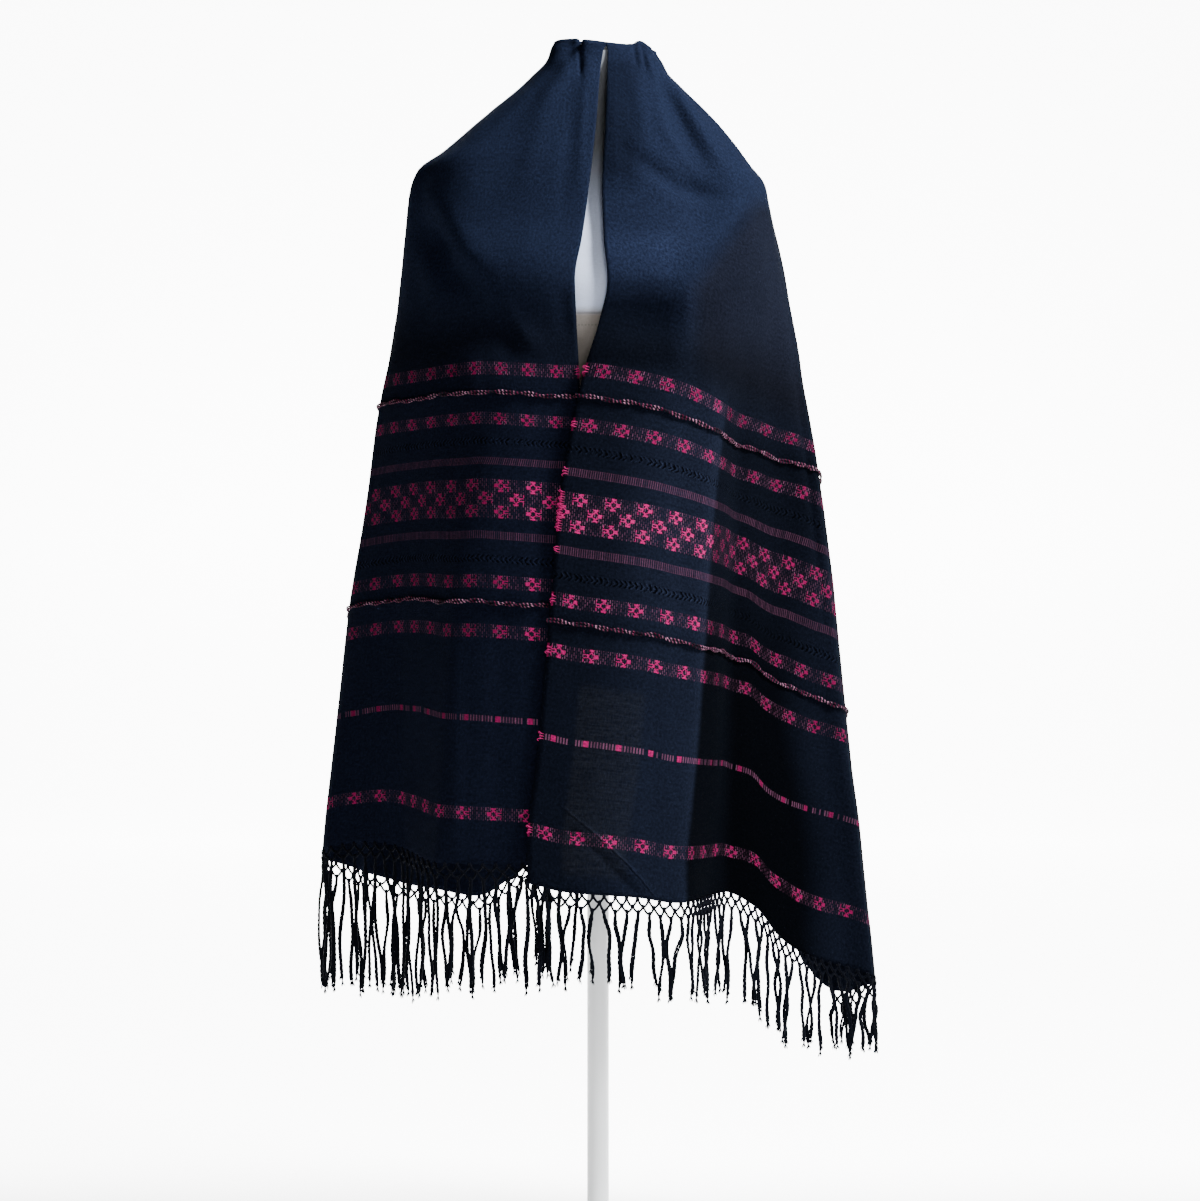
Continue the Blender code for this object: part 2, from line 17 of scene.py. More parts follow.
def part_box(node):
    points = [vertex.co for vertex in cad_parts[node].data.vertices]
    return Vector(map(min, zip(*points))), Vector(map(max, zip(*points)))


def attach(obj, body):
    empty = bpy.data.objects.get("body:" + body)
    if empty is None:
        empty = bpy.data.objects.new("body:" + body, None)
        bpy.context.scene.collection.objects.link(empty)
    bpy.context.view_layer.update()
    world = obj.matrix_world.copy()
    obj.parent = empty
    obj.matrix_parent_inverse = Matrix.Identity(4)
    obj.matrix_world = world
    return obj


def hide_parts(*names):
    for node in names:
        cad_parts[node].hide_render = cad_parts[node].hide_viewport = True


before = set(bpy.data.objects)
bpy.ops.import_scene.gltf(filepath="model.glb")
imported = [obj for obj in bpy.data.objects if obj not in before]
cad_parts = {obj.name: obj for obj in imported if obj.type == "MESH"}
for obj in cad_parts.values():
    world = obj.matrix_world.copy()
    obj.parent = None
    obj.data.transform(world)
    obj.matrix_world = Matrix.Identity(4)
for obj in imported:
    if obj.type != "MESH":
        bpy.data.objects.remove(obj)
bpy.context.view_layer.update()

bl_info = {
    "name": "Rebozo on a dress form",
    "version": (1, 0, 0),
    "blender": (4, 5, 0),
    "location": "3D View > Sidebar > Rebozo",
    "description": "Woven rebozo with twisted cords and knotted fringe, on a limbless linen dress form",
    "category": "Object",
}

LEFT, RIGHT = "left", "right"
SIGN = {LEFT: -1, RIGHT: 1}
RIM_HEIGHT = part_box("back")[1].z

# ---------------------------------------------------------------- the drape, as in the CAD solids
# The smooth section of the cloth at each drop below the rim: half widths on the left and right, how far its
# front and back stand from the pole's axis, and how far behind the axis each side is widest.
Level = namedtuple("Level", "drop left right front back left_middle right_middle")
LEVELS = [
    Level(0.000, 0.0440, 0.0610, 0.0560, 0.0560, 0.000, 0.000),
    Level(0.015, 0.0525, 0.0680, 0.0570, 0.0570, 0.000, 0.000),
    Level(0.030, 0.0720, 0.0740, 0.0620, 0.0620, 0.000, 0.000),
    Level(0.046, 0.0890, 0.0890, 0.0710, 0.0710, 0.000, 0.000),
    Level(0.069, 0.1165, 0.1130, 0.0830, 0.0835, 0.000, 0.000),
    Level(0.090, 0.1425, 0.1340, 0.0930, 0.0940, 0.000, 0.000),
    Level(0.120, 0.1785, 0.1600, 0.1060, 0.1070, 0.000, 0.000),
    Level(0.140, 0.2060, 0.1760, 0.1140, 0.1140, 0.000, 0.000),
    Level(0.158, 0.2140, 0.1915, 0.1200, 0.1190, 0.000, 0.000),
    Level(0.178, 0.2176, 0.1955, 0.1265, 0.1240, 0.000, 0.000),
    Level(0.215, 0.2218, 0.2020, 0.1350, 0.1310, 0.003, 0.003),
    Level(0.290, 0.2315, 0.2155, 0.1500, 0.1370, 0.008, 0.010),
    Level(0.380, 0.2455, 0.2350, 0.1540, 0.1400, 0.014, 0.018),
    Level(0.490, 0.2615, 0.2545, 0.1530, 0.1420, 0.020, 0.028),
    Level(0.650, 0.2885, 0.2740, 0.1530, 0.1440, 0.028, 0.042),
    Level(0.780, 0.3030, 0.2870, 0.1540, 0.1450, 0.030, 0.050),
    Level(0.925, 0.3180, 0.3065, 0.1560, 0.1460, 0.030, 0.058),
    Level(1.140, 0.3280, 0.3260, 0.1580, 0.1460, 0.030, 0.062),
]

# Where the two front edges hang, as x at each drop.
Edge = namedtuple("Edge", "drop left right")
EDGES = [
    Edge(0.000, 0.0100, 0.0094),
    Edge(0.003, 0.0096, 0.0096),
    Edge(0.008, 0.0062, 0.0108),
    Edge(0.110, -0.0025, 0.0080),
    Edge(0.180, -0.0100, 0.0045),
    Edge(0.240, -0.0175, 0.0060),
    Edge(0.285, -0.0245, 0.0100),
    Edge(0.330, -0.0235, 0.0010),
    Edge(0.385, -0.0205, -0.0150),
    Edge(0.450, -0.0190, -0.0285),
    Edge(0.520, -0.0185, -0.0400),
    Edge(0.660, -0.0200, -0.0515),
    Edge(0.800, -0.0220, -0.0640),
    Edge(0.900, -0.0240, -0.0750),
    Edge(1.140, -0.0240, -0.0750),
]

# The line of the first woven band and the fringed hem, as drops, from the front edge (across 0) towards the
# centre of the back (across 1), then the lower selvage from each corner to the centre of the back.
Hem = namedtuple("Hem", "across band hem")
HEMS = {
    LEFT: [
        Hem(0.000, 0.394, 0.918),
        Hem(0.060, 0.392, 0.920),
        Hem(0.170, 0.389, 0.921),
        Hem(0.215, 0.389, 0.914),
        Hem(0.270, 0.390, 0.909),
        Hem(0.370, 0.391, 0.914),
        Hem(0.490, 0.393, 0.925),
        Hem(0.620, 0.400, 0.946),
        Hem(0.757, 0.410, 0.975),
        Hem(0.850, 0.420, 0.990),
        Hem(0.900, 0.418, 0.968),
        Hem(0.930, 0.412, 0.945),
    ],
    RIGHT: [
        Hem(0.000, 0.392, 0.940),
        Hem(0.035, 0.395, 0.948),
        Hem(0.115, 0.406, 0.955),
        Hem(0.150, 0.413, 0.961),
        Hem(0.207, 0.427, 0.962),
        Hem(0.250, 0.438, 0.982),
        Hem(0.280, 0.443, 1.018),
        Hem(0.316, 0.449, 1.040),
        Hem(0.371, 0.455, 1.055),
        Hem(0.526, 0.470, 1.074),
        Hem(0.620, 0.480, 1.090),
        Hem(0.700, 0.485, 1.104),
    ],
}
SELVAGES = {
    LEFT: [Hem(0.930, 0.412, 0.945), Hem(0.965, 0.396, 0.790), Hem(1.0, 0.385, 0.715)],
    RIGHT: [
        Hem(0.700, 0.485, 1.104),
        Hem(0.770, 0.460, 1.030),
        Hem(0.850, 0.425, 0.880),
        Hem(0.930, 0.396, 0.760),
        Hem(1.0, 0.385, 0.715),
    ],
}
CORNER = {side: HEMS[side][-1].across for side in HEMS}
BAND_ABOVE_HEM = 0.560
FIRST_BAND_DROP = 0.392
FRONT_SHARE = 0.46         # the part of each half, as across, that is meshed more finely as its front

# Flutes that grow towards the hem, soft folds that rise and die away, and the steps of the front, where the
# cloth falls back past x = at.
Flute = namedtuple("Flute", "side start end at_start at_end width out power")
FLUTES = [
    Flute(LEFT, 0.16, 0.95, 0.540, 0.590, 0.034, 0.016, 1.0),
    Flute(LEFT, 0.18, 0.90, 0.640, 0.700, 0.036, 0.027, 1.1),
    Flute(LEFT, 0.20, 0.85, 0.760, 0.800, 0.036, 0.028, 1.1),
    Flute(LEFT, 0.16, 0.80, 0.880, 0.900, 0.038, 0.028, 1.0),
    Flute(RIGHT, 0.17, 1.00, 0.560, 0.610, 0.034, 0.014, 1.0),
    Flute(RIGHT, 0.18, 0.95, 0.650, 0.700, 0.036, 0.028, 1.1),
    Flute(RIGHT, 0.22, 0.80, 0.770, 0.815, 0.038, 0.032, 1.1),
    Flute(RIGHT, 0.16, 0.75, 0.890, 0.930, 0.036, 0.030, 1.0),
]
Soft = namedtuple("Soft", "side start end at_start at_end width out")
SOFT_FOLDS = [
    Soft(LEFT, -0.05, 0.13, 0.155, 0.150, 0.040, 0.0045),
    Soft(LEFT, 0.02, 0.34, 0.300, 0.150, 0.060, 0.0060),
    Soft(LEFT, 0.05, 0.30, 0.420, 0.330, 0.045, -0.0045),
    Soft(LEFT, 0.30, 0.90, 0.120, 0.100, 0.060, 0.0040),
    Soft(RIGHT, -0.06, 0.20, 0.330, 0.250, 0.050, 0.0080),
    Soft(RIGHT, -0.06, 0.16, 0.440, 0.400, 0.050, 0.0060),
    Soft(RIGHT, 0.03, 0.30, 0.200, 0.170, 0.045, -0.0080),
    Soft(RIGHT, 0.06, 0.40, 0.340, 0.260, 0.050, 0.0060),
    Soft(RIGHT, 0.30, 0.85, 0.330, 0.290, 0.050, -0.0060),
]
Step = namedtuple("Step", "drop at softness depth")
STEPS = {
    LEFT: [
        Step(0.36, 0.150, 0.060, 0.000),
        Step(0.50, 0.172, 0.045, 0.022),
        Step(0.70, 0.190, 0.032, 0.045),
        Step(0.92, 0.200, 0.028, 0.066),
        Step(1.14, 0.202, 0.028, 0.068),
    ],
    RIGHT: [
        Step(0.24, 0.150, 0.050, 0.000),
        Step(0.42, 0.144, 0.020, 0.038),
        Step(0.52, 0.138, 0.022, 0.056),
        Step(0.75, 0.128, 0.026, 0.080),
        Step(0.96, 0.118, 0.030, 0.096),
        Step(1.14, 0.116, 0.030, 0.098),
    ],
}
STEP_FADE = 0.62
OVERLAP_LIFT = 0.0095

# ---------------------------------------------------------------- creases, laid in one by one
# A crease of the front runs through places given as x and drop. rise is how far it stands out, or how deep it
# lies where negative, and width is half its width.
Crease = namedtuple("Crease", "places width rise")
FRONT_CREASES = {
    LEFT: [
        Crease(((-0.0410, -0.05), (-0.0440, 0.040)), 0.0130, 0.0080),
        Crease(((-0.0212, -0.03), (-0.0186, 0.056)), 0.0026, -0.0046),
        Crease(((-0.0100, -0.04), (-0.0120, 0.080)), 0.0085, 0.0018),
        Crease(((-0.0300, -0.03), (-0.0280, 0.048)), 0.0060, -0.0024),
        Crease(((-0.0146, 0.047), (-0.0205, 0.190)), 0.0045, 0.0018),
        Crease(((-0.0270, 0.060), (-0.0400, 0.230)), 0.0080, -0.0018),
        Crease(((-0.0420, 0.020), (-0.0640, 0.110), (-0.0900, 0.200)), 0.0110, 0.0020),
        Crease(((-0.0560, 0.020), (-0.0940, 0.064), (-0.1400, 0.120)), 0.0080, -0.0020),
        Crease(((-0.2000, 0.192), (-0.1860, 0.222), (-0.1590, 0.270), (-0.1220, 0.305)), 0.0165, -0.0085),
        Crease(((-0.1920, 0.156), (-0.1640, 0.212), (-0.1360, 0.252), (-0.1000, 0.284)), 0.0170, 0.0052),
        Crease(((-0.2100, 0.210), (-0.1900, 0.268), (-0.1660, 0.345)), 0.0130, 0.0024),
        Crease(((-0.1219, 0.300), (-0.1034, 0.338), (-0.0849, 0.390)), 0.0130, -0.0028),
        Crease(((-0.1088, 0.298), (-0.0903, 0.333), (-0.0560, 0.368)), 0.0100, 0.0034),
        Crease(((-0.0400, 0.290), (-0.0330, 0.360)), 0.0080, -0.0020),
        Crease(((-0.1500, 0.320), (-0.1300, 0.460)), 0.0120, 0.0022),
        Crease(((-0.2090, 0.540), (-0.2100, 0.980)), 0.0100, 0.0032),
        Crease(((-0.1780, 0.520), (-0.1850, 0.980)), 0.0120, -0.0022),
        Crease(((-0.1540, 0.640), (-0.1560, 0.980)), 0.0080, 0.0018),
        Crease(((-0.1050, 0.600), (-0.1120, 0.960)), 0.0140, -0.0018),
        Crease(((-0.0760, 0.430), (-0.0720, 0.740)), 0.0150, 0.0016),
    ],
    RIGHT: [
        Crease(((0.0400, -0.01), (0.0440, 0.034)), 0.0020, -0.0022),
        Crease(((0.0450, 0.000), (0.0490, 0.038)), 0.0026, 0.0022),
        Crease(((0.0500, 0.004), (0.0545, 0.040)), 0.0020, -0.0026),
        Crease(((0.0550, 0.010), (0.0610, 0.050)), 0.0026, 0.0020),
        Crease(
            ((0.0552, 0.000), (0.0606, 0.043), (0.0722, 0.110), (0.0939, 0.146), (0.1254, 0.177)),
            0.0070, 0.0046,
        ),
        Crease(
            ((0.016, 0.128), (0.040, 0.143), (0.064, 0.158), (0.088, 0.175), (0.120, 0.183), (0.156, 0.185)),
            0.0100, -0.0070,
        ),
        Crease(((0.0774, 0.040), (0.1026, 0.088), (0.1400, 0.152)), 0.0060, 0.0034),
        Crease(((0.0782, 0.062), (0.1021, 0.116), (0.1291, 0.160)), 0.0060, -0.0026),
        Crease(((0.0990, 0.064), (0.1340, 0.110), (0.1700, 0.165)), 0.0070, -0.0020),
        Crease(((0.0150, 0.030), (0.0200, 0.200)), 0.0060, 0.0012),
        Crease(((0.0300, 0.040), (0.0420, 0.130)), 0.0070, -0.0014),
        Crease(((0.1880, 0.182), (0.1470, 0.238), (0.1165, 0.277), (0.0960, 0.308)), 0.0130, -0.0082),
        Crease(((0.1690, 0.184), (0.1330, 0.231), (0.1020, 0.266)), 0.0130, 0.0056),
        Crease(((0.1900, 0.215), (0.1620, 0.258), (0.1300, 0.310)), 0.0110, 0.0028),
        Crease(((0.0968, 0.280), (0.1005, 0.370)), 0.0070, 0.0034),
        Crease(((0.1250, 0.300), (0.1330, 0.430)), 0.0100, -0.0028),
        Crease(((0.1425, 0.420), (0.1300, 0.700), (0.1190, 1.000)), 0.0100, 0.0034),
        Crease(((0.1000, 0.400), (0.0830, 0.740)), 0.0140, -0.0020),
        Crease(((0.0350, 0.400), (0.0250, 0.660)), 0.0160, 0.0016),
        Crease(((-0.0381, 0.862), (0.0080, 0.898), (0.0400, 0.934), (0.0653, 0.957)), 0.0024, 0.0032),
        Crease(((-0.0410, 0.870), (0.0040, 0.907), (0.0360, 0.942), (0.0610, 0.966)), 0.0030, -0.0022),
        Crease(((0.1000, 0.890), (0.1010, 0.980)), 0.0018, -0.0012),
        Crease(((0.1075, 0.890), (0.1085, 0.980)), 0.0018, -0.0012),
        Crease(((0.0620, 0.700), (0.0560, 0.960)), 0.0120, -0.0016),
    ],
}

# Broad swells and hollows of the front, given as x and drop with half a width and half a height.
Mound = namedtuple("Mound", "x drop half_width half_height rise")
MOUNDS = {
    LEFT: [
        Mound(-0.085, 0.268, 0.078, 0.046, 0.0130),
        Mound(-0.110, 0.336, 0.090, 0.038, -0.0062),
        Mound(-0.205, 0.300, 0.040, 0.110, -0.0070),
    ],
    RIGHT: [
        Mound(0.078, 0.259, 0.072, 0.044, 0.0150),
        Mound(0.064, 0.332, 0.054, 0.028, -0.0130),
        Mound(0.150, 0.330, 0.035, 0.060, 0.0040),
    ],
}

# A crease of the sides and back runs between two places, given as across and drop.
Drag = namedtuple("Drag", "across1 drop1 across2 drop2 width rise")
WRAP_CREASES = {
    LEFT: [
        Drag(0.50, 0.030, 0.56, 0.150, 0.008, 0.0030),
        Drag(0.60, 0.020, 0.66, 0.180, 0.010, -0.0030),
        Drag(0.72, 0.015, 0.74, 0.210, 0.009, 0.0032),
        Drag(0.84, 0.010, 0.80, 0.160, 0.007, -0.0026),
        Drag(0.92, 0.020, 0.88, 0.260, 0.010, 0.0026),
        Drag(0.53, 0.180, 0.47, 0.420, 0.013, -0.0040),
        Drag(0.44, 0.330, 0.42, 0.640, 0.012, 0.0030),
        Drag(0.50, 0.480, 0.51, 0.900, 0.014, -0.0036),
        Drag(0.62, 0.300, 0.65, 0.620, 0.012, -0.0030),
        Drag(0.73, 0.420, 0.75, 0.900, 0.012, -0.0040),
        Drag(0.84, 0.360, 0.85, 0.820, 0.013, -0.0036),
        Drag(0.96, 0.240, 0.95, 0.600, 0.012, 0.0030),
    ],
    RIGHT: [
        Drag(0.47, 0.020, 0.52, 0.170, 0.008, -0.0030),
        Drag(0.56, 0.015, 0.60, 0.140, 0.008, 0.0032),
        Drag(0.68, 0.020, 0.70, 0.230, 0.010, -0.0030),
        Drag(0.78, 0.010, 0.76, 0.150, 0.008, 0.0028),
        Drag(0.88, 0.015, 0.85, 0.240, 0.010, -0.0028),
        Drag(0.50, 0.190, 0.46, 0.400, 0.013, 0.0036),
        Drag(0.42, 0.330, 0.44, 0.700, 0.014, -0.0040),
        Drag(0.52, 0.450, 0.54, 0.960, 0.013, 0.0030),
        Drag(0.63, 0.360, 0.66, 0.960, 0.012, -0.0038),
        Drag(0.74, 0.340, 0.77, 0.800, 0.013, -0.0036),
        Drag(0.84, 0.280, 0.87, 0.680, 0.012, 0.0028),
        Drag(0.95, 0.200, 0.96, 0.560, 0.011, -0.0030),
    ],
}
HALF_ROUND = 0.62          # metres round one half of the cloth, which scales the distance from a drag crease

# ---------------------------------------------------------------- the weaver's bands
# Each half hangs a little skewed in front, so its bands lie higher than the cloth's plain measure would put
# them: by how many millimetres, for each drop, at the places x of each side. The right half's lie lower in
# its fold.
LIFT_PLACES = {
    LEFT: (-0.275, -0.200, -0.130, -0.050),
    RIGHT: (0.000, 0.100, 0.150, 0.180, 0.215, 0.250),
}
Lift = namedtuple("Lift", "drop by")
LIFTS = {
    LEFT: [
        Lift(0.38, (5, 5, 8, 6)),
        Lift(0.43, (6, 8, 12, 8)),
        Lift(0.50, (10, 14, 18, 14)),
        Lift(0.60, (10, 15, 18, 13)),
        Lift(0.70, (7, 14, 14, 9)),
        Lift(0.77, (5, 14, 11, 6)),
        Lift(0.83, (2, 8, 5, 1)),
        Lift(0.95, (1, 4, 2, 0)),
    ],
    RIGHT: [
        Lift(0.38, (6, 5, 3, 3, 3, 3)),
        Lift(0.45, (7, 5, 0, 5, 4, 4)),
        Lift(0.50, (8, 6, 1, 9, 10, 10)),
        Lift(0.56, (9, 7, 4, 10, 12, 9)),
        Lift(0.63, (7, 6, 2, 10, 13, 9)),
        Lift(0.70, (5, 2, -4, 8, 11, 6)),
        Lift(0.76, (7, 2, -4, 8, 8, 4)),
        Lift(0.83, (6, 2, -4, 6, 6, 6)),
        Lift(0.92, (6, 1, -4, 6, 13, 10)),
        Lift(0.99, (4, 1, -2, 5, 10, 8)),
    ],
}

# Each row of flowers: its height above the hem, where its first flower stands from each front selvage, and
# how brightly it is lit, which is painted light on its thread.
FlowerRow = namedtuple("FlowerRow", "height left right light")
FLOWER_ROWS = [
    FlowerRow(0.563, 0.0298, 0.0220, 0.26),
    FlowerRow(0.502, 0.0320, 0.0200, 0.34),
    FlowerRow(0.419, 0.0158, 0.0235, 0.64),
    FlowerRow(0.404, 0.0347, 0.0415, 0.68),
    FlowerRow(0.389, 0.0158, 0.0235, 0.64),
    FlowerRow(0.309, 0.0158, 0.0223, 0.54),
    FlowerRow(0.254, 0.0158, 0.0135, 0.54),
    FlowerRow(0.054, 0.0190, 0.0207, 0.50),
]
FLOWER_HALF_ROW = 0.0075
LADDERS = (0.449, 0.362)
LADDER_HALF = 0.0045
CHEVRONS = (0.474, 0.335)
CHEVRON_HALF = 0.0043
DASH_LINE = 0.157
DASH_HALF = 0.0033
DASH_FIRST = 0.0160
CORD_HEIGHTS = (0.534, 0.286)
SELVAGE_TURN = 0.0022      # the weft's turn round the selvage, which is solid pink

# The steps and pitches of the weave, in millimetres.
WARP_STEP, WEFT_STEP = 0.9, 1.0
TICK_PITCH, TICK_HIGH = 2.5, 5.2
RUNG_PITCH = 2.5
RAIL = 0.0009              # in metres, like the heights
CHEVRON_PITCH = 5.6
DASH_PITCH = 3.4

# The warp is drawn closer where the cloth turns back: woven distance from the front selvage, for the distance
# along the hanging cloth. Above its cord the left front is gathered evenly instead.
Drawn = namedtuple("Drawn", "along woven")
DRAWN_WARP = {
    LEFT: [
        Drawn(0.000, 0.0000), Drawn(0.125, 0.1255), Drawn(0.154, 0.1620), Drawn(0.188, 0.1985),
        Drawn(0.217, 0.2350), Drawn(0.245, 0.2700), Drawn(0.283, 0.3080), Drawn(0.318, 0.3440),
        Drawn(0.800, 0.8260),
    ],
    RIGHT: [
        Drawn(0.000, 0.0000), Drawn(0.125, 0.1275), Drawn(0.159, 0.1667), Drawn(0.188, 0.2030),
        Drawn(0.218, 0.2390), Drawn(0.264, 0.2760), Drawn(0.304, 0.3127), Drawn(0.342, 0.3490),
        Drawn(0.390, 0.3930), Drawn(0.800, 0.8030),
    ],
}
LEFT_TOP_GATHER = 1.17

# The bands dip towards the lower selvage on the back: how far, and from which place across.
Dip = namedtuple("Dip", "start depth")
DIPS = {LEFT: Dip(0.66, 0.37), RIGHT: Dip(0.62, 0.26)}

# ---------------------------------------------------------------- net and fringe
Reach = namedtuple("Reach", "along length")
REACHES = {
    LEFT: [
        Reach(0.00, 0.110), Reach(0.12, 0.125), Reach(0.25, 0.160), Reach(0.38, 0.150),
        Reach(0.55, 0.125), Reach(0.66, 0.112), Reach(0.72, 0.120),
    ],
    RIGHT: [
        Reach(0.00, 0.108), Reach(0.06, 0.090), Reach(0.20, 0.100), Reach(0.34, 0.112),
        Reach(0.44, 0.100), Reach(0.54, 0.078), Reach(0.72, 0.062),
    ],
}

# Strands within half a width of a bunch lean to its centre by a share of their distance from it.
Bunch = namedtuple("Bunch", "along half pull")
BUNCHES = {
    LEFT: [
        Bunch(0.026, 0.020, 0.55), Bunch(0.078, 0.022, 0.80), Bunch(0.143, 0.026, 0.75),
        Bunch(0.198, 0.014, 0.50), Bunch(0.250, 0.034, 0.72), Bunch(0.309, 0.013, 0.60),
        Bunch(0.338, 0.013, 0.70), Bunch(0.372, 0.016, 0.60), Bunch(0.420, 0.024, 0.70),
        Bunch(0.475, 0.020, 0.55), Bunch(0.525, 0.026, 0.75), Bunch(0.590, 0.022, 0.60),
        Bunch(0.650, 0.024, 0.70), Bunch(0.700, 0.016, 0.60),
    ],
    RIGHT: [
        Bunch(0.036, 0.016, 0.62), Bunch(0.064, 0.011, 0.62), Bunch(0.103, 0.020, 0.72),
        Bunch(0.150, 0.024, 0.60), Bunch(0.190, 0.013, 0.50), Bunch(0.233, 0.026, 0.66),
        Bunch(0.290, 0.020, 0.60), Bunch(0.340, 0.024, 0.55), Bunch(0.392, 0.020, 0.70),
        Bunch(0.440, 0.022, 0.60), Bunch(0.500, 0.028, 0.66), Bunch(0.560, 0.020, 0.60),
        Bunch(0.620, 0.026, 0.70), Bunch(0.680, 0.024, 0.60),
    ],
}

# ---------------------------------------------------------------- the dress form
Section = namedtuple("Section", "drop half front back")
TORSO = [
    Section(0.012, 0.0484, 0.0553, 0.0553),
    Section(0.040, 0.0484, 0.0553, 0.0553),
    Section(0.060, 0.0600, 0.0590, 0.0600),
    Section(0.078, 0.0900, 0.0650, 0.0680),
    Section(0.100, 0.1260, 0.0740, 0.0800),
    Section(0.125, 0.1560, 0.0860, 0.0920),
    Section(0.148, 0.1760, 0.0960, 0.0990),
    Section(0.170, 0.1880, 0.1060, 0.1050),
    Section(0.200, 0.1850, 0.1190, 0.1100),
    Section(0.240, 0.1700, 0.1340, 0.1120),
    Section(0.290, 0.1620, 0.1455, 0.1120),
    Section(0.340, 0.1560, 0.1390, 0.1060),
    Section(0.400, 0.1420, 0.1160, 0.0970),
    Section(0.460, 0.1300, 0.1000, 0.0900),
    Section(0.540, 0.1420, 0.0980, 0.0990),
    Section(0.620, 0.1560, 0.1020, 0.1110),
    Section(0.690, 0.1600, 0.1020, 0.1150),
    Section(0.712, 0.1570, 0.0980, 0.1120),
]


# ---------------------------------------------------------------- settings
class RebozoClothSettings(bpy.types.PropertyGroup):
    """Sizes and colours of the woven length"""

    width: bpy.props.FloatProperty(
        name="Width", description="From selvage to selvage", default=0.72, unit="LENGTH"
    )
    length: bpy.props.FloatProperty(
        name="Length", description="From hem to hem, without the fringe", default=2.22, unit="LENGTH"
    )
    wall: bpy.props.FloatProperty(
        name="Thickness", description="Thickness of the cloth", default=0.0010, unit="LENGTH", precision=4
    )
    stand_off: bpy.props.FloatProperty(
        name="Stand-off", description="From the drape's inner face to the middle of the cloth",
        default=0.0010, unit="LENGTH", precision=4,
    )
    crease: bpy.props.FloatProperty(
        name="Crease depth", description="Scales the depth of every crease", default=1.0, min=0.0, max=1.5
    )
    front_columns: bpy.props.IntProperty(
        name="Front columns", description="Columns of mesh on each front", default=72, min=20
    )
    back_columns: bpy.props.IntProperty(
        name="Back columns", description="Columns of mesh on each half of the back", default=46, min=12
    )
    row_pitch: bpy.props.FloatProperty(
        name="Row pitch", description="Height of one row of mesh", default=0.0050, unit="LENGTH", precision=4
    )
    flower_repeat: bpy.props.FloatProperty(
        name="Flower repeat", description="From one woven flower to the next", default=0.0365, unit="LENGTH"
    )
    thread: bpy.props.FloatProperty(
        name="Thread pitch", description="From one warp thread to the next", default=0.0009,
        unit="LENGTH", precision=4,
    )
    indigo: bpy.props.FloatVectorProperty(
        name="Ground", description="Colour of the ground between the bands", subtype="COLOR",
        default=(0.0027, 0.0036, 0.0072),
    )
    # Partly the plain napped ground's colour and partly painted top light on the chest.
    plain_ground_top_lit: bpy.props.FloatVectorProperty(
        name="Plain ground", description="Colour of the napped ground above the bands", subtype="COLOR",
        default=(0.0058, 0.0084, 0.0188),
    )
    pink: bpy.props.FloatVectorProperty(
        name="Flowers", description="Colour of the brocaded flowers", subtype="COLOR",
        default=(0.62, 0.016, 0.172),
    )
    mauve: bpy.props.FloatVectorProperty(
        name="Ticks", description="Colour of the ticks and ladders", subtype="COLOR",
        default=(0.125, 0.042, 0.082),
    )


class RebozoYarnSettings(bpy.types.PropertyGroup):
    """Sizes and colours of the cords, the net and the fringe"""

    cord_radius: bpy.props.FloatProperty(
        name="Cord ply", description="Radius of one ply of a twisted cord", default=0.00115,
        unit="LENGTH", precision=5,
    )
    cord_pitch: bpy.props.FloatProperty(
        name="Cord twist", description="Length of one turn of a twisted cord", default=0.047, unit="LENGTH"
    )
    net_cells: bpy.props.IntProperty(
        name="Net cells", description="Cells of the knotted net along each end", default=54, min=10
    )
    net_row: bpy.props.FloatProperty(
        name="Net row", description="Height of one row of the net", default=0.0076, unit="LENGTH", precision=4
    )
    net_radius: bpy.props.FloatProperty(
        name="Net yarn", description="Radius of the yarn of the net", default=0.00140,
        unit="LENGTH", precision=5,
    )
    ply_radius: bpy.props.FloatProperty(
        name="Fringe ply", description="Radius of one of the two plies of a strand", default=0.00140,
        unit="LENGTH", precision=5,
    )
    ply_turn: bpy.props.FloatProperty(
        name="Fringe twist", description="Length of one turn of a strand", default=0.012, unit="LENGTH"
    )
    black: bpy.props.FloatVectorProperty(
        name="Yarn", description="Colour of the fringe", subtype="COLOR", default=(0.0013, 0.0016, 0.0030)
    )
    light_pink: bpy.props.FloatVectorProperty(
        name="Light ply", description="Lighter colour of the cords", subtype="COLOR",
        default=(0.25, 0.105, 0.160),
    )


class RebozoFormSettings(bpy.types.PropertyGroup):
    """Sizes and colours of the dress form and its stand"""

    sides: bpy.props.IntProperty(
        name="Sides", description="Sides of the torso's mesh", default=96, min=24
    )
    linen: bpy.props.FloatVectorProperty(
        name="Linen", description="Colour of the linen of the body", subtype="COLOR",
        default=(0.225, 0.200, 0.180),
    )
    # Paler, bluer linen over the bust: partly the linen's colour and partly painted light.
    pale_linen_bust_lit: bpy.props.FloatVectorProperty(
        name="Bust linen", description="Colour of the paler linen of the bust", subtype="COLOR",
        default=(0.52, 0.58, 0.74),
    )
    # Painted shade: dark grey at the neck and upper chest, where the cloth shades the form.
    painted_neck_shade: bpy.props.FloatVectorProperty(
        name="Dusty linen", description="Colour of the greyed linen of the chest and neck", subtype="COLOR",
        default=(0.135, 0.142, 0.158),
    )
    paint: bpy.props.FloatVectorProperty(
        name="Paint", description="Colour of the stand's paint", subtype="COLOR", default=(0.88, 0.88, 0.87)
    )


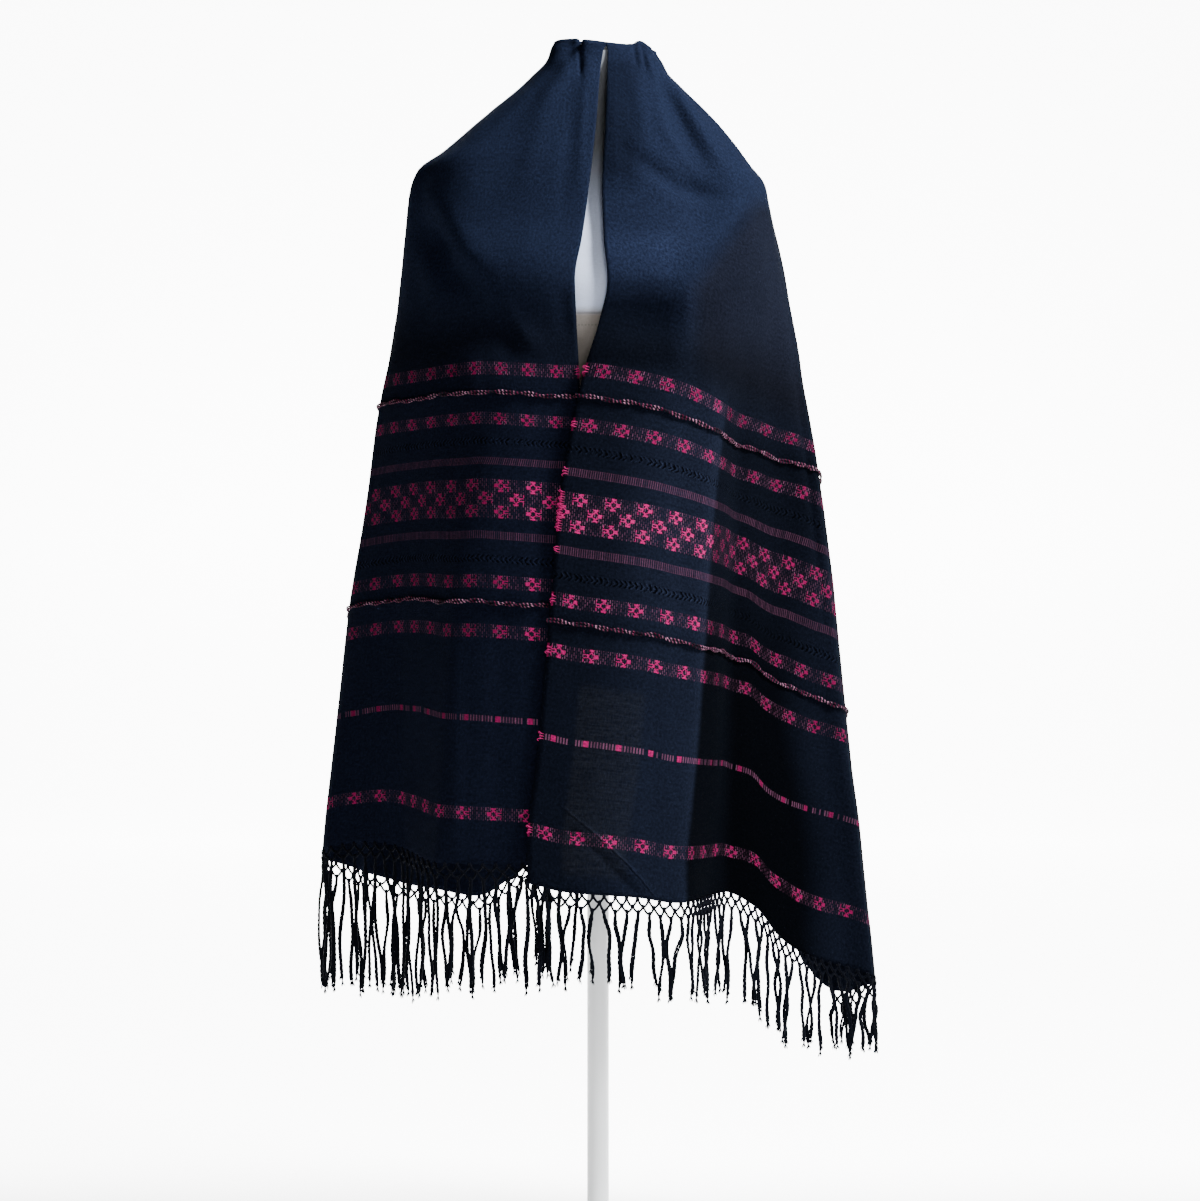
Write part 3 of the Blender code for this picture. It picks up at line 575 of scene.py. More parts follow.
class RebozoStageSettings(bpy.types.PropertyGroup):
    """The floor, the light and the camera"""

    floor: bpy.props.FloatVectorProperty(
        name="Floor", description="Colour of the floor and wall", subtype="COLOR", default=(0.92, 0.92, 0.92)
    )
    glow: bpy.props.FloatProperty(
        name="Backdrop light", description="How brightly the lit backdrop shines", default=9.0, min=0.0
    )
    distance: bpy.props.FloatProperty(
        name="Camera distance", description="From the pole's axis to the camera", default=2.8, unit="LENGTH"
    )
    height: bpy.props.FloatProperty(
        name="Camera height", description="Height of the camera", default=0.768, unit="LENGTH"
    )
    focal: bpy.props.FloatProperty(
        name="Focal length", description="Focal length on a 36 mm sensor", default=73.08, unit="CAMERA"
    )


# ---------------------------------------------------------------- reading the tables
def smooth(rows, column, at):
    """A column of a table at values of its first column, on a smooth curve through its rows."""
    keys = np.array([row[0] for row in rows])
    values = np.array([getattr(row, column) for row in rows])
    at = np.clip(at, keys[0], keys[-1])
    spans = np.diff(keys)
    rises = np.diff(values) / spans
    before, after = rises[:-1], rises[1:]
    turning = before * after <= 0
    total = np.where(turning, 1.0, before + after)
    slopes = np.zeros(len(keys))
    slopes[1:-1] = np.where(turning, 0.0, 2 * before * after / total)
    i = np.clip(np.searchsorted(keys, at, side="right") - 1, 0, len(keys) - 2)
    s = (at - keys[i]) / spans[i]
    s2, s3 = s * s, s ** 3
    return (
        values[i] * (2 * s3 - 3 * s2 + 1)
        + slopes[i] * spans[i] * (s3 - 2 * s2 + s)
        + values[i + 1] * (3 * s2 - 2 * s3)
        + slopes[i + 1] * spans[i] * (s3 - s2)
    )


def ease(x):
    x = np.clip(x, 0.0, 1.0)
    return x * x * (3 - 2 * x)


def bell(x):
    return np.exp(-x * x)


# ---------------------------------------------------------------- the form of the cloth
def fold_out(side, across, drop):
    """How far the folds move the cloth out of its smooth section."""
    out = np.zeros(np.broadcast(across, drop).shape)
    for f in FLUTES:
        share = np.clip((drop - f.start) / (f.end - f.start), 0.0, 1.15)
        at = f.at_start + (f.at_end - f.at_start) * np.minimum(share, 1.0)
        place = across if f.side == side else 2.0 - across
        out = out + f.out * share ** f.power * bell((place - at) / f.width)
    for f in SOFT_FOLDS:
        if f.side == side:
            share = np.clip((drop - f.start) / (f.end - f.start), 0.0, 1.0)
            at = f.at_start + (f.at_end - f.at_start) * share
            out = out + f.out * np.sin(np.pi * share) * bell((across - at) / f.width)
    return out


def drape_points(side, across, drop):
    """Points of the drape's inner face, in an array that ends in x, y and z."""
    half = smooth(LEVELS, side, drop)
    middle = smooth(LEVELS, side + "_middle", drop)
    front = smooth(LEVELS, "front", drop)
    back = smooth(LEVELS, "back", drop)
    first = np.arcsin(SIGN[side] * smooth(EDGES, side, drop) / half)
    angle = first + across * (np.pi - first)
    c, s = np.cos(angle), np.sin(angle)
    depth = np.where(c > 0, front + middle, back - middle)
    normal_x, normal_y = depth * s * SIGN[side], -half * c
    size = np.hypot(normal_x, normal_y)
    out = fold_out(side, across, drop)
    if side == RIGHT:
        out = out + OVERLAP_LIFT * ease((drop - 0.30) / 0.07) * ease((0.34 - across) / 0.22)
    x = SIGN[side] * half * s + normal_x / size * out
    y = middle - depth * c + normal_y / size * out
    fall = smooth(STEPS[side], "depth", drop)
    at = smooth(STEPS[side], "at", drop)
    soft = smooth(STEPS[side], "softness", drop)
    y = y + np.where(c > 0, fall * ease((np.abs(x) - at + soft) / (2 * soft)) * ease(c / STEP_FADE), 0.0)
    return np.stack([x, y, RIM_HEIGHT - drop + 0.0 * x], axis=-1)


def hem_and_band(side, across):
    """The drops of the lower edge and of the first band at places across, round to the centre of the back."""
    wrapped = across > CORNER[side]
    hem = np.where(wrapped, smooth(SELVAGES[side], "hem", across), smooth(HEMS[side], "hem", across))
    band = np.where(wrapped, smooth(SELVAGES[side], "band", across), smooth(HEMS[side], "band", across))
    return hem, band


def woven_height(side, across, drop):
    """How far above the hem a place lies as it was woven, from which the bands take their place."""
    hem, band = smooth(HEMS[side], "hem", across), smooth(HEMS[side], "band", across)
    below = BAND_ABOVE_HEM * (hem - drop) / (hem - band)
    height = np.where(drop > band, below, BAND_ABOVE_HEM + band - drop)
    dip = DIPS[side]
    turn = np.clip((across - dip.start) / (1.0 - dip.start), 0.0, 1.0)
    return height + dip.depth * turn ** 2 * ease((height - 0.08) / 0.2)


def lift_of(side, across, points, drop):
    """How much higher than its plain measure a place sits in front, which dies away round the side."""
    table = LIFTS[side]
    by_drop = np.stack([np.interp(points[..., 0], LIFT_PLACES[side], row.by) for row in table])
    place = np.interp(drop, [row.drop for row in table], range(len(table)))
    above = np.minimum(place.astype(int), len(table) - 2)
    share = place - above
    upper = np.take_along_axis(by_drop, above[None], 0)[0]
    lower = np.take_along_axis(by_drop, above[None] + 1, 0)[0]
    return 0.001 * (upper + (lower - upper) * share) * ease((0.75 - across) / 0.25)


def crease_rise(u, v, places, width, rise):
    """The rise of a crease along its places: a bell across it that dies away towards both ends."""
    nearest = np.full(u.shape, 9.0)
    along = np.zeros(u.shape)
    start = 0.0
    for (u1, v1), (u2, v2) in zip(places[:-1], places[1:]):
        length = math.hypot(u2 - u1, v2 - v1)
        share = ((u - u1) * (u2 - u1) + (v - v1) * (v2 - v1)) / length ** 2
        share = np.clip(share, 0.0, 1.0)
        away = np.hypot(u - u1 - share * (u2 - u1), v - v1 - share * (v2 - v1))
        closer = away < nearest
        nearest = np.where(closer, away, nearest)
        along = np.where(closer, start + share * length, along)
        start += length
    tail = 0.40 * start
    ends = ease(along / tail + 0.12) * ease((start - along) / tail + 0.12)
    return rise * bell(nearest / width) * ends


def crease_out(side, across, drop, points):
    """How far the creases and swells move the cloth out of the drape."""
    x = points[..., 0]
    out = np.zeros(x.shape)
    for c in FRONT_CREASES[side]:
        out += crease_rise(x, drop, c.places, c.width, c.rise)
    for m in MOUNDS[side]:
        out += m.rise * bell(np.hypot((x - m.x) / m.half_width, (drop - m.drop) / m.half_height))
    out *= ease((0.52 - across) / 0.10)
    for c in WRAP_CREASES[side]:
        places = ((c.across1 * HALF_ROUND, c.drop1), (c.across2 * HALF_ROUND, c.drop2))
        out += crease_rise(across * HALF_ROUND, drop, places, c.width, c.rise)
    return out


def rim_fall(points, drop):
    """How far the front rim lies below the neck's full height: more to the right, up to a twisted bunch."""
    x = points[..., 0]
    fall = 0.0052 * ease((x + 0.036) / 0.060) - 0.0064 * bell((x - 0.0490) / 0.0085)
    fall += 0.0012 * bell((x + 0.0155) / 0.0090) - 0.0023 * ease((-0.0195 - x) / 0.0070)
    return fall * ease((0.030 - points[..., 1]) / 0.050) * ease(1.0 - drop / 0.034)


def unit(vectors):
    return vectors / np.maximum(np.linalg.norm(vectors, axis=-1, keepdims=True), 1e-12)


class Drape:
    """One half of the hanging cloth as a net of points.

    Its rows run from the neck down, and its columns from the front edge to the centre of the back.
    """

    def __init__(self, side, cloth):
        self.side = side
        front = np.linspace(0.0, FRONT_SHARE, cloth.front_columns + 1)
        back = np.linspace(FRONT_SHARE, 1.0, cloth.back_columns + 1)[1:]
        across = np.concatenate([front, back])
        hem, band = hem_and_band(side, across)
        top_rows = round(FIRST_BAND_DROP / cloth.row_pitch)
        low_rows = round(BAND_ABOVE_HEM / cloth.row_pitch)
        shares = np.linspace(0.0, 1.0, top_rows + 1)[:-1, None] ** 1.12
        top = shares * band[None, :]
        low = band + (hem - band) * np.linspace(0.0, 1.0, low_rows + 1)[:, None]
        drop = np.concatenate([top, low])
        self.across = np.broadcast_to(across, drop.shape)
        self.drop = drop
        inner = drape_points(side, self.across, drop)
        self.normals = self.outward(inner)
        out = crease_out(side, self.across, drop, inner) + self.rumple(inner)
        out *= cloth.crease
        out += cloth.stand_off
        self.points = inner + self.normals * out[..., None]
        self.points[..., 2] -= rim_fall(self.points, drop)
        self.normals = self.outward(self.points)
        steps = np.linalg.norm(np.diff(self.points, axis=1), axis=-1)
        self.along = np.concatenate([np.zeros((len(drop), 1)), np.cumsum(steps, axis=1)], axis=1)
        self.height = woven_height(side, self.across, drop)
        self.height -= lift_of(side, self.across, self.points, drop) * ease(self.height / 0.045)
        drawn = DRAWN_WARP[side]
        self.woven = np.interp(self.along, [row.along for row in drawn], [row.woven for row in drawn])
        if side == LEFT:
            gathered = ease((self.height - 0.430) / 0.060)
            self.woven += (self.along * LEFT_TOP_GATHER - self.woven) * gathered

    def outward(self, points):
        down = np.gradient(points, axis=0)
        round_ = np.gradient(points, axis=1)
        return unit(np.cross(round_, down)) * (-SIGN[self.side])

    def rumple(self, points):
        """Shallow unevenness all over, which no hanging cloth is without."""
        flat = points.reshape(-1, 3)
        broad = [noise.noise(Vector((p[0] * 17, p[1] * 17, p[2] * 9))) for p in flat]
        small = [noise.noise(Vector((p[0] * 60 + 9, p[1] * 60, p[2] * 26))) for p in flat]
        return (0.0011 * np.array(broad) + 0.00028 * np.array(small)).reshape(points.shape[:-1])

    def row_of(self, height):
        """The line of one woven height: its points and outward normals, and how far along it each one is."""
        points, normals = [], []
        for j in range(self.points.shape[1]):
            heights = self.height[:, j]
            if height < heights[-1]:
                break
            falling = -heights
            points.append([np.interp(-height, falling, self.points[:, j, k]) for k in range(3)])
            normals.append([np.interp(-height, falling, self.normals[:, j, k]) for k in range(3)])
        return Line(np.array(points), unit(np.array(normals)))

    def hem_line(self):
        corner = int(np.searchsorted(self.across[-1], CORNER[self.side]))
        return Line(self.points[-1, : corner + 1], self.normals[-1, : corner + 1])


class Line:
    """A line that lies on the cloth, read by the distance along it."""

    def __init__(self, points, normals):
        self.points, self.normals = points, normals
        steps = np.linalg.norm(np.diff(points, axis=0), axis=1)
        self.lengths = np.concatenate([[0.0], np.cumsum(steps)])
        self.length = self.lengths[-1]

    def read(self, table, along):
        return np.stack([np.interp(along, self.lengths, table[:, k]) for k in range(3)], axis=-1)

    def point(self, along):
        return self.read(self.points, along)

    def normal(self, along):
        return unit(self.read(self.normals, along))

    def tangent(self, along):
        return unit(self.point(along + 0.004) - self.point(along - 0.004))


# ---------------------------------------------------------------- making meshes
def new_object(name, bm, finish, replaced=()):
    """A finished piece from a bmesh, which rides on the one body."""
    mesh = bpy.data.meshes.new(name)
    bm.to_mesh(mesh)
    bm.free()
    mesh.shade_smooth()
    mesh.materials.append(finish)
    made = bpy.data.objects.new(name, mesh)
    bpy.context.scene.collection.objects.link(made)
    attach(made, "root")
    if replaced:
        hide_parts(*replaced)
    return made


def add_strands(bm, paths, radii, sides):
    """Closed round strands along paths of equally many points. One grid is cut into strips and rolled up."""
    paths = np.asarray(paths, float)
    count, rings = paths.shape[:2]
    radii = np.array(np.broadcast_to(radii, (count, rings)))
    radii[:, 0] = radii[:, -1] = 0.0
    tangents = unit(np.gradient(paths, axis=1))
    normal = np.cross(tangents[:, 0], (0.31, 0.87, 0.22))
    normals = np.empty_like(paths)
    for ring in range(rings):
        tangent = tangents[:, ring]
        normal = unit(normal - tangent * np.sum(normal * tangent, axis=1, keepdims=True))
        normals[:, ring] = normal
    binormals = np.cross(tangents, normals)
    angles = -2 * np.pi * np.arange(sides + 1) / sides
    ring_x = normals[:, :, None] * np.cos(angles)[:, None]
    ring_y = binormals[:, :, None] * np.sin(angles)[:, None]
    points = paths[:, :, None] + radii[:, :, None, None] * (ring_x + ring_y)
    steps = np.linalg.norm(np.diff(paths, axis=1), axis=2)
    along = np.concatenate([np.zeros((count, 1)), np.cumsum(steps, axis=1)], axis=1)
    strips = count * (sides + 1)
    uv = bm.loops.layers.uv.get("strand") or bm.loops.layers.uv.new("strand")
    made = bmesh.ops.create_grid(bm, x_segments=rings - 1, y_segments=strips - 1, size=0.5)["verts"]
    where = {}
    for vert in made:
        ring = round((vert.co.x + 0.5) * (rings - 1))
        strand, side = divmod(round((vert.co.y + 0.5) * (strips - 1)), sides + 1)
        vert.co = points[strand, ring, side]
        where[vert] = (strand, along[strand, ring], side / sides)
    gaps = []
    for face in {face for vert in made for face in vert.link_faces}:
        if len({where[vert][0] for vert in face.verts}) > 1:
            gaps.append(face)
            continue
        for loop in face.loops:
            loop[uv].uv = where[loop.vert][1:]
    bmesh.ops.delete(bm, geom=gaps, context="FACES")


def close_strands(bm):
    """Joins each strand's seam and the points of its ends."""
    bmesh.ops.remove_doubles(bm, verts=bm.verts, dist=1e-6)


def wound(middles, radius, pitch, phase):
    """The paths of two plies wound round each middle line, which run mainly up and down or along."""
    tangents = unit(np.gradient(middles, axis=1))
    normals = unit(np.cross(tangents, (0.31, 0.87, 0.22)))
    binormals = np.cross(tangents, normals)
    steps = np.linalg.norm(np.diff(middles, axis=1), axis=2)
    along = np.concatenate([np.zeros((len(middles), 1)), np.cumsum(steps, axis=1)], axis=1)
    plies = []
    for half in (0.0, np.pi):
        angle = (2 * np.pi * along / pitch + half + phase[:, None])[..., None]
        plies.append(middles + radius * (normals * np.cos(angle) + binormals * np.sin(angle)))
    return np.concatenate(plies)


# ---------------------------------------------------------------- materials
class Value:
    """A number in a material. A sum on it adds Math nodes."""

    def __init__(self, finish, socket):
        self.finish, self.socket = finish, socket

    def __add__(self, other):
        return self.finish.math("ADD", self, other)

    def __radd__(self, other):
        return self.finish.math("ADD", other, self)

    def __sub__(self, other):
        return self.finish.math("SUBTRACT", self, other)

    def __rsub__(self, other):
        return self.finish.math("SUBTRACT", other, self)

    def __mul__(self, other):
        return self.finish.math("MULTIPLY", self, other)

    def __rmul__(self, other):
        return self.finish.math("MULTIPLY", other, self)

    def __truediv__(self, other):
        return self.finish.math("DIVIDE", self, other)

    def __mod__(self, other):
        return self.finish.math("FLOORED_MODULO", self, other)

    def __lt__(self, other):
        return self.finish.math("LESS_THAN", self, other)

    def __gt__(self, other):
        return self.finish.math("GREATER_THAN", self, other)

    def __abs__(self):
        return self.finish.math("ABSOLUTE", self)

    def floor(self):
        return self.finish.math("FLOOR", self)

    def sine(self):
        return self.finish.math("SINE", self)

    def larger(self, other):
        return self.finish.math("MAXIMUM", self, other)

    def smaller(self, other):
        return self.finish.math("MINIMUM", self, other)

    def smoothed(self, low, high):
        """0 below low, 1 above high, and smooth between them."""
        settings = {"interpolation_type": "SMOOTHSTEP"}
        node = self.finish.node(
            "ShaderNodeMapRange", settings, {"Value": self, "From Min": low, "From Max": high}
        )
        return Value(self.finish, node.outputs["Result"])


class Finish:
    """A material whose one shader is a Principled BSDF, and what adds nodes to it."""

    def __init__(self, name, **constants):
        self.material = bpy.data.materials.new(name)
        self.material.use_nodes = True
        self.tree = self.material.node_tree
        self.shader = self.tree.nodes["Principled BSDF"]
        self.feed(**constants)

    def node(self, kind, settings=None, sockets=None):
        """A node of one kind, with its settings made first and then its sockets set or linked."""
        made = self.tree.nodes.new(kind)
        for name, setting in (settings or {}).items():
            setattr(made, name, setting)
        for name, value in (sockets or {}).items():
            self.join(made.inputs[name], value)
        return made

    def join(self, socket, value):
        value = value.socket if isinstance(value, Value) else value
        if isinstance(value, bpy.types.NodeSocket):
            self.tree.links.new(value, socket)
        elif hasattr(value, "__len__") and socket.type == "RGBA" and len(value) == 3:
            socket.default_value = (*value, 1.0)
        else:
            socket.default_value = value

    def feed(self, **sockets):
        """Sets or links sockets of the shader, whose names are given with _ for a space."""
        for name, value in sockets.items():
            self.join(self.shader.inputs[name.replace("_", " ")], value)

    def math(self, operation, *values):
        node = self.node("ShaderNodeMath", {"operation": operation})
        for socket, value in zip(node.inputs, values):
            self.join(socket, value)
        return Value(self, node.outputs[0])

    def mix(self, share, first, second, blend="MIX"):
        """Two colours mixed by a share."""
        node = self.node("ShaderNodeMix", {"data_type": "RGBA", "blend_type": blend})
        self.join(node.inputs[0], share)
        self.join(node.inputs[6], first)
        self.join(node.inputs[7], second)
        return node.outputs[2]

    def scaled(self, colour, share):
        """A colour made darker or lighter by a number."""
        node = self.node("ShaderNodeVectorMath", {"operation": "SCALE"})
        self.join(node.inputs[0], colour)
        self.join(node.inputs["Scale"], share)
        return node.outputs[0]

    def place(self, first, second, third=0.0):
        """A vector from three numbers."""
        return self.node("ShaderNodeCombineXYZ", None, {"X": first, "Y": second, "Z": third}).outputs[0]

    def uv(self, name):
        """The two numbers of a UV map."""
        source = self.node("ShaderNodeUVMap", {"uv_map": name})
        parts = self.node("ShaderNodeSeparateXYZ", None, {"Vector": source.outputs["UV"]})
        return Value(self, parts.outputs["X"]), Value(self, parts.outputs["Y"])

    def object_place(self):
        return self.node("ShaderNodeTexCoord").outputs["Object"]

    def object_parts(self):
        """The three numbers of the place in the object, in metres."""
        parts = self.node("ShaderNodeSeparateXYZ", None, {"Vector": self.object_place()})
        return [Value(self, parts.outputs[k]) for k in "XYZ"]

    def noise(self, vector, scale, detail=2.0, roughness=0.5):
        sockets = {"Vector": vector, "Scale": scale, "Detail": detail, "Roughness": roughness}
        return Value(self, self.node("ShaderNodeTexNoise", None, sockets).outputs[0])

    def random(self, vector):
        """One number for each place, with no likeness between neighbours."""
        return Value(self, self.node("ShaderNodeTexWhiteNoise", None, {"Vector": vector}).outputs["Value"])

    def raise_by(self, height, distance, strength=1.0):
        """Bumps the surface by a height from 0 to 1, over a distance in metres."""
        sockets = {"Height": height, "Distance": distance, "Strength": strength}
        self.feed(Normal=self.node("ShaderNodeBump", None, sockets).outputs["Normal"])


def flower_shape(x, y):
    """1 inside a blossom round a hollow heart, at millimetres off its middle.

    Its long petal is towards the selvage.
    """
    far_x, far_y = abs(x), abs(y)
    upright = (far_x < 2.8) * (far_y > 4.7) * (far_y < 7.0)
    stem = (far_x < 1.1) * (far_y > 3.0) * (far_y < 4.8)
    short = (x > 3.0) * (x < 7.3) * (far_y < 1.6)
    slot = (x < -3.6) * (far_y < 0.6)
    long = (x > -9.2) * (x < -3.0) * (far_y < 2.2) * (1.0 - slot)
    heart = x * x + y * y * 1.25
    ring = (heart > 9.0) * (heart < 17.5)
    prongs = (abs(x + 8.8) < 0.5) * (far_y > 3.4) * (far_y < 6.5)
    return upright.larger(stem).larger(short).larger(long).larger(ring).larger(prongs)


# Where a place lies in the woven length, as signed and unsigned distance from the front selvage, height above
# the hem and millimetres from the selvage, and how its threads stray there.
Weave = namedtuple("Weave", "finish cloth signed t height on_left within mm slip_x slip_y floats frayed")
Threads = namedtuple("Threads", "fibres weft nap")


def weave_of(finish, cloth):
    signed, height = finish.uv("weave")
    t = abs(signed)
    on_left = signed < 0.0
    mm = t * 1000
    slip_x = finish.noise(finish.place(mm * 0.16, height * 420.0, on_left * 5.0), 1.0, 1.0, 0.5) - 0.5
    slip_y = finish.noise(finish.place(mm * 0.40, height * 90.0, on_left * 5.0 + 3.0), 1.0, 1.0, 0.5) - 0.5
    floats = finish.noise(finish.place(signed * 420.0, height * 1100.0), 1.0, 2.0, 0.6)
    frayed = finish.noise(finish.place(signed * 420.0, height * 520.0), 1.0, 1.0, 0.5)
    within = t < cloth.width
    return Weave(finish, cloth, signed, t, height, on_left, within, mm, slip_x, slip_y, floats, frayed)


def threads_of(weave):
    """The ground's slubs along both threads, and its nap."""
    finish, signed, height = weave.finish, weave.signed, weave.height
    fibres = finish.noise(finish.place(signed * 620.0, height * 210.0), 1.0, 3.0, 0.65)
    weft = finish.noise(finish.place(signed * 45.0, height * 520.0), 1.0, 2.0, 0.6)
    nap = finish.noise(finish.place(signed * 330.0, height * 300.0), 1.0, 3.0, 0.7).smoothed(0.30, 0.72)
    return Threads(fibres, weft, nap)


def flower_rows(weave):
    """The flowers, the staggered ticks between them, whether a place is in a row, and that row's painted
    light.
    """
    finish, height, on_left, mm = weave.finish, weave.height, weave.on_left, weave.mm
    in_row, off_row, first, painted_row_light = 0.0, 0.0, 0.0, 0.0
    for row in FLOWER_ROWS:
        inside = abs(height - row.height) < FLOWER_HALF_ROW
        in_row = inside + in_row
        off_row = inside * (height - row.height) + off_row
        first = inside * (on_left * row.left + (1.0 - on_left) * row.right) + first
        painted_row_light = inside * row.light + painted_row_light
    in_row = in_row.smaller(1.0) * weave.within
    repeat = weave.cloth.flower_repeat
    from_flower = ((weave.t - first) / repeat + 0.5) % 1.0 - 0.5
    x = (((from_flower * (repeat * 1000) + weave.slip_x * 2.8) / WARP_STEP).floor() + 0.5) * WARP_STEP
    y = (((off_row * 1000 + weave.slip_y * 2.4) / WEFT_STEP).floor() + 0.5) * WEFT_STEP
    flower = flower_shape(x, y) * in_row

    # The ticks are brighter beside a flower.
    column = (mm / TICK_PITCH).floor()
    level = off_row * 1000 / TICK_HIGH + (column % 2.0) * 0.5 + 0.25
    luck = finish.random(finish.place(column, level.floor(), on_left * 7.0 + first * 900.0))
    tick = ((mm / TICK_PITCH) % 1.0 < 0.44) * ((level % 1.0) < 0.70) * in_row * (1.0 - flower)
    near = 1.0 - abs(x + 1.0).smoothed(7.0, 13.0)
    tick = tick * (0.08 + luck.smoothed(0.15, 1.0) * 0.40 + near * luck * 0.80)
    return flower, tick, in_row, painted_row_light


def ladders(weave):
    """Narrow bands of rungs between two fainter rails."""
    bar, rail = 0.0, 0.0
    for at in LADDERS:
        off = abs(weave.height - at)
        bar = (off < LADDER_HALF) + bar
        rail = (off > LADDER_HALF - RAIL) * (off < LADDER_HALF) + rail
    place = weave.mm / RUNG_PITCH
    luck = weave.finish.random(weave.finish.place(place.floor(), 3.0))
    rung = (place % 1.0 < 0.46) * (0.50 + 0.8 * luck)
    return bar * rung.larger(rail * 0.30) * weave.within


def chevrons(weave):
    """Dark floats that slant to a point, with painted highlights on the ground between them. Some are left
    out.
    """
    in_row, off_row = 0.0, 0.0
    for at in CHEVRONS:
        inside = abs(weave.height - at) < CHEVRON_HALF
        in_row = inside + in_row
        off_row = inside * (weave.height - at) + off_row
    slant = (CHEVRON_HALF * 1000 - abs(off_row) * 1000) * 0.85
    phase = ((weave.mm + weave.slip_x * 4.5 - slant) / CHEVRON_PITCH) % 1.0
    whole = (weave.slip_y + 0.5).smoothed(0.36, 0.50) * in_row * weave.within
    return (phase < 0.40) * whole, (phase > 0.46) * (phase < 0.72) * whole


def dashed_line(weave):
    """The solid blocks of the dashed line, one for each repeat, and the chance ticks between them."""
    in_line = (abs(weave.height - DASH_LINE) < DASH_HALF) * weave.within
    phase = ((weave.t - DASH_FIRST) / weave.cloth.flower_repeat + 0.5) % 1.0
    block = in_line * (abs(phase - 0.5) < 0.080)
    place = weave.mm / DASH_PITCH
    luck = weave.finish.random(weave.finish.place(place.floor(), 11.0 + weave.on_left * 4.0))
    ticks = in_line * (place % 1.0 < 0.50) * (luck > 0.18) * (0.35 + luck * 0.9)
    return block, ticks


def ground_colour(weave, threads):
    """The indigo ground: dark among the bands, lighter and bluer above them, partly the plain napped ground
    and partly painted top light, and with a soft mottle.
    """
    finish, cloth, signed, height = weave.finish, weave.cloth, weave.signed, weave.height
    cloudy = finish.noise(finish.object_place(), 9.0, 3.0, 0.55)
    mottle = threads.fibres * 0.60 + threads.weft * 0.55 + threads.nap * 0.75 + cloudy * 0.40 - 0.14
    # Lighter above the bands: partly the plain ground's own colour, partly painted top light on the chest.
    ground = finish.mix(height.smoothed(0.585, 0.690), cloth.indigo, cloth.plain_ground_top_lit)
    ground = finish.scaled(ground, mottle)

    # Among the bands the right half is painted lighter in front, as painted light, and darker where it falls
    # back past its fold, up to where it comes forward again at the side, as painted shade. The left half is
    # bluer.
    banded = 1.0 - height.smoothed(0.520, 0.600)
    pale = signed.smoothed(0.040, 0.125) * (1.0 - signed.smoothed(0.184, 0.196))
    reach = signed - (1.0 - height.smoothed(0.050, 0.300)) * 0.075
    behind = signed.smoothed(0.184, 0.200) * (1.0 - reach.smoothed(0.345, 0.420))
    behind = behind * (0.92 - 0.42 * height.smoothed(0.230, 0.440))
    ground = finish.scaled(ground, 1.0 + banded * (pale * 0.8 - behind))
    ground = finish.mix(weave.on_left * banded, ground, (1.28, 1.30, 1.44), "MULTIPLY")

    # One worn, thin place above the right hem is coloured lighter grey, as painted light shining through it
    # from behind.
    worn = finish.scaled((0.050, 0.052, 0.058), (threads.fibres * 1.5 + threads.weft * 1.1 - 1.0).larger(0.0))
    thin = signed.smoothed(0.036, 0.044) * (1.0 - signed.smoothed(0.108, 0.118))
    thin = thin * height.smoothed(0.012, 0.024) * (1.0 - height.smoothed(0.212, 0.228))
    return finish.mix(thin * 0.17, ground, worn)


def right_front_tint_and_painted_light(weave, ground):
    """The plain right front: greyer on the arm, with painted light over the bust and painted shade under it
    and by the front edge.
    """
    finish = weave.finish
    x, y, z = finish.object_parts()
    in_front = (1.0 - weave.on_left) * (1.0 - y.smoothed(-0.010, 0.050))
    above = weave.height.smoothed(0.560, 0.620)
    arm = (x - (z - 1.110).larger(0.0) * 0.70).smoothed(0.088, 0.122) * (1.0 - z.smoothed(1.205, 1.235))
    ground = finish.mix(in_front * above * arm, ground, (0.84, 0.68, 0.56), "MULTIPLY")
    # Painted shade by the front edge, painted light over the bust, and painted shade under the bust.
    edge = (1.0 - x.smoothed(0.030, 0.062)) * z.smoothed(1.205, 1.250) * (1.0 - z.smoothed(1.365, 1.392))
    bust = z.smoothed(1.106, 1.128) * (1.0 - z.smoothed(1.150, 1.185)) * (1.0 - x.smoothed(0.070, 0.105))
    under = z.smoothed(1.005, 1.035) * (1.0 - z.smoothed(1.088, 1.108)) * (1.0 - x.smoothed(0.074, 0.100))
    return finish.scaled(ground, 1.0 + in_front * (bust * 0.55 - edge * 0.48 - under * 0.55))


def painted_band_shade(weave):
    """Painted shade on the bands: dimmer away from the left edge, and where the right half falls back."""
    signed, height = weave.signed, weave.height
    high_or_low = height.smoothed(0.455, 0.490).larger(1.0 - height.smoothed(0.080, 0.110))
    left = weave.on_left * weave.t.smoothed(0.052, 0.112) * (0.62 - 0.34 * high_or_low)
    right = signed.smoothed(0.180, 0.205) * (0.84 - 0.22 * signed.smoothed(0.210, 0.300))
    return 1.0 - left - right * (1.0 - 0.26 * high_or_low)


def relief_of(weave, threads):
    """The plain weave, its slubs and nap, fine puckers beside the cords, and a fold across the right hem."""
    finish, signed, height = weave.finish, weave.signed, weave.height
    turns = 2 * math.pi / weave.cloth.thread
    plain_weave = (weave.t * turns).sine() * (height * turns).sine()
    beside_cord = 0.0
    for at in CORD_HEIGHTS:
        beside_cord = (1.0 - abs(height - at).smoothed(0.004, 0.020)) + beside_cord
    pucker = finish.noise(finish.place(signed * 150.0, height * 45.0), 1.0, 1.0, 0.5) * beside_cord
    past = signed - 0.033
    off_fold = height - 0.088 + past * 0.55 + past * past * 1.65
    fold = (1.0 - abs(off_fold).smoothed(0.0004, 0.0030)) * signed.smoothed(0.030, 0.045)
    fold = fold * (1.0 - signed.smoothed(0.138, 0.150))
    even = plain_weave * 0.16 + threads.fibres * 0.35 + threads.nap * 0.70 + threads.weft * 0.40
    return even + pucker * 0.9 + fold * 3.0


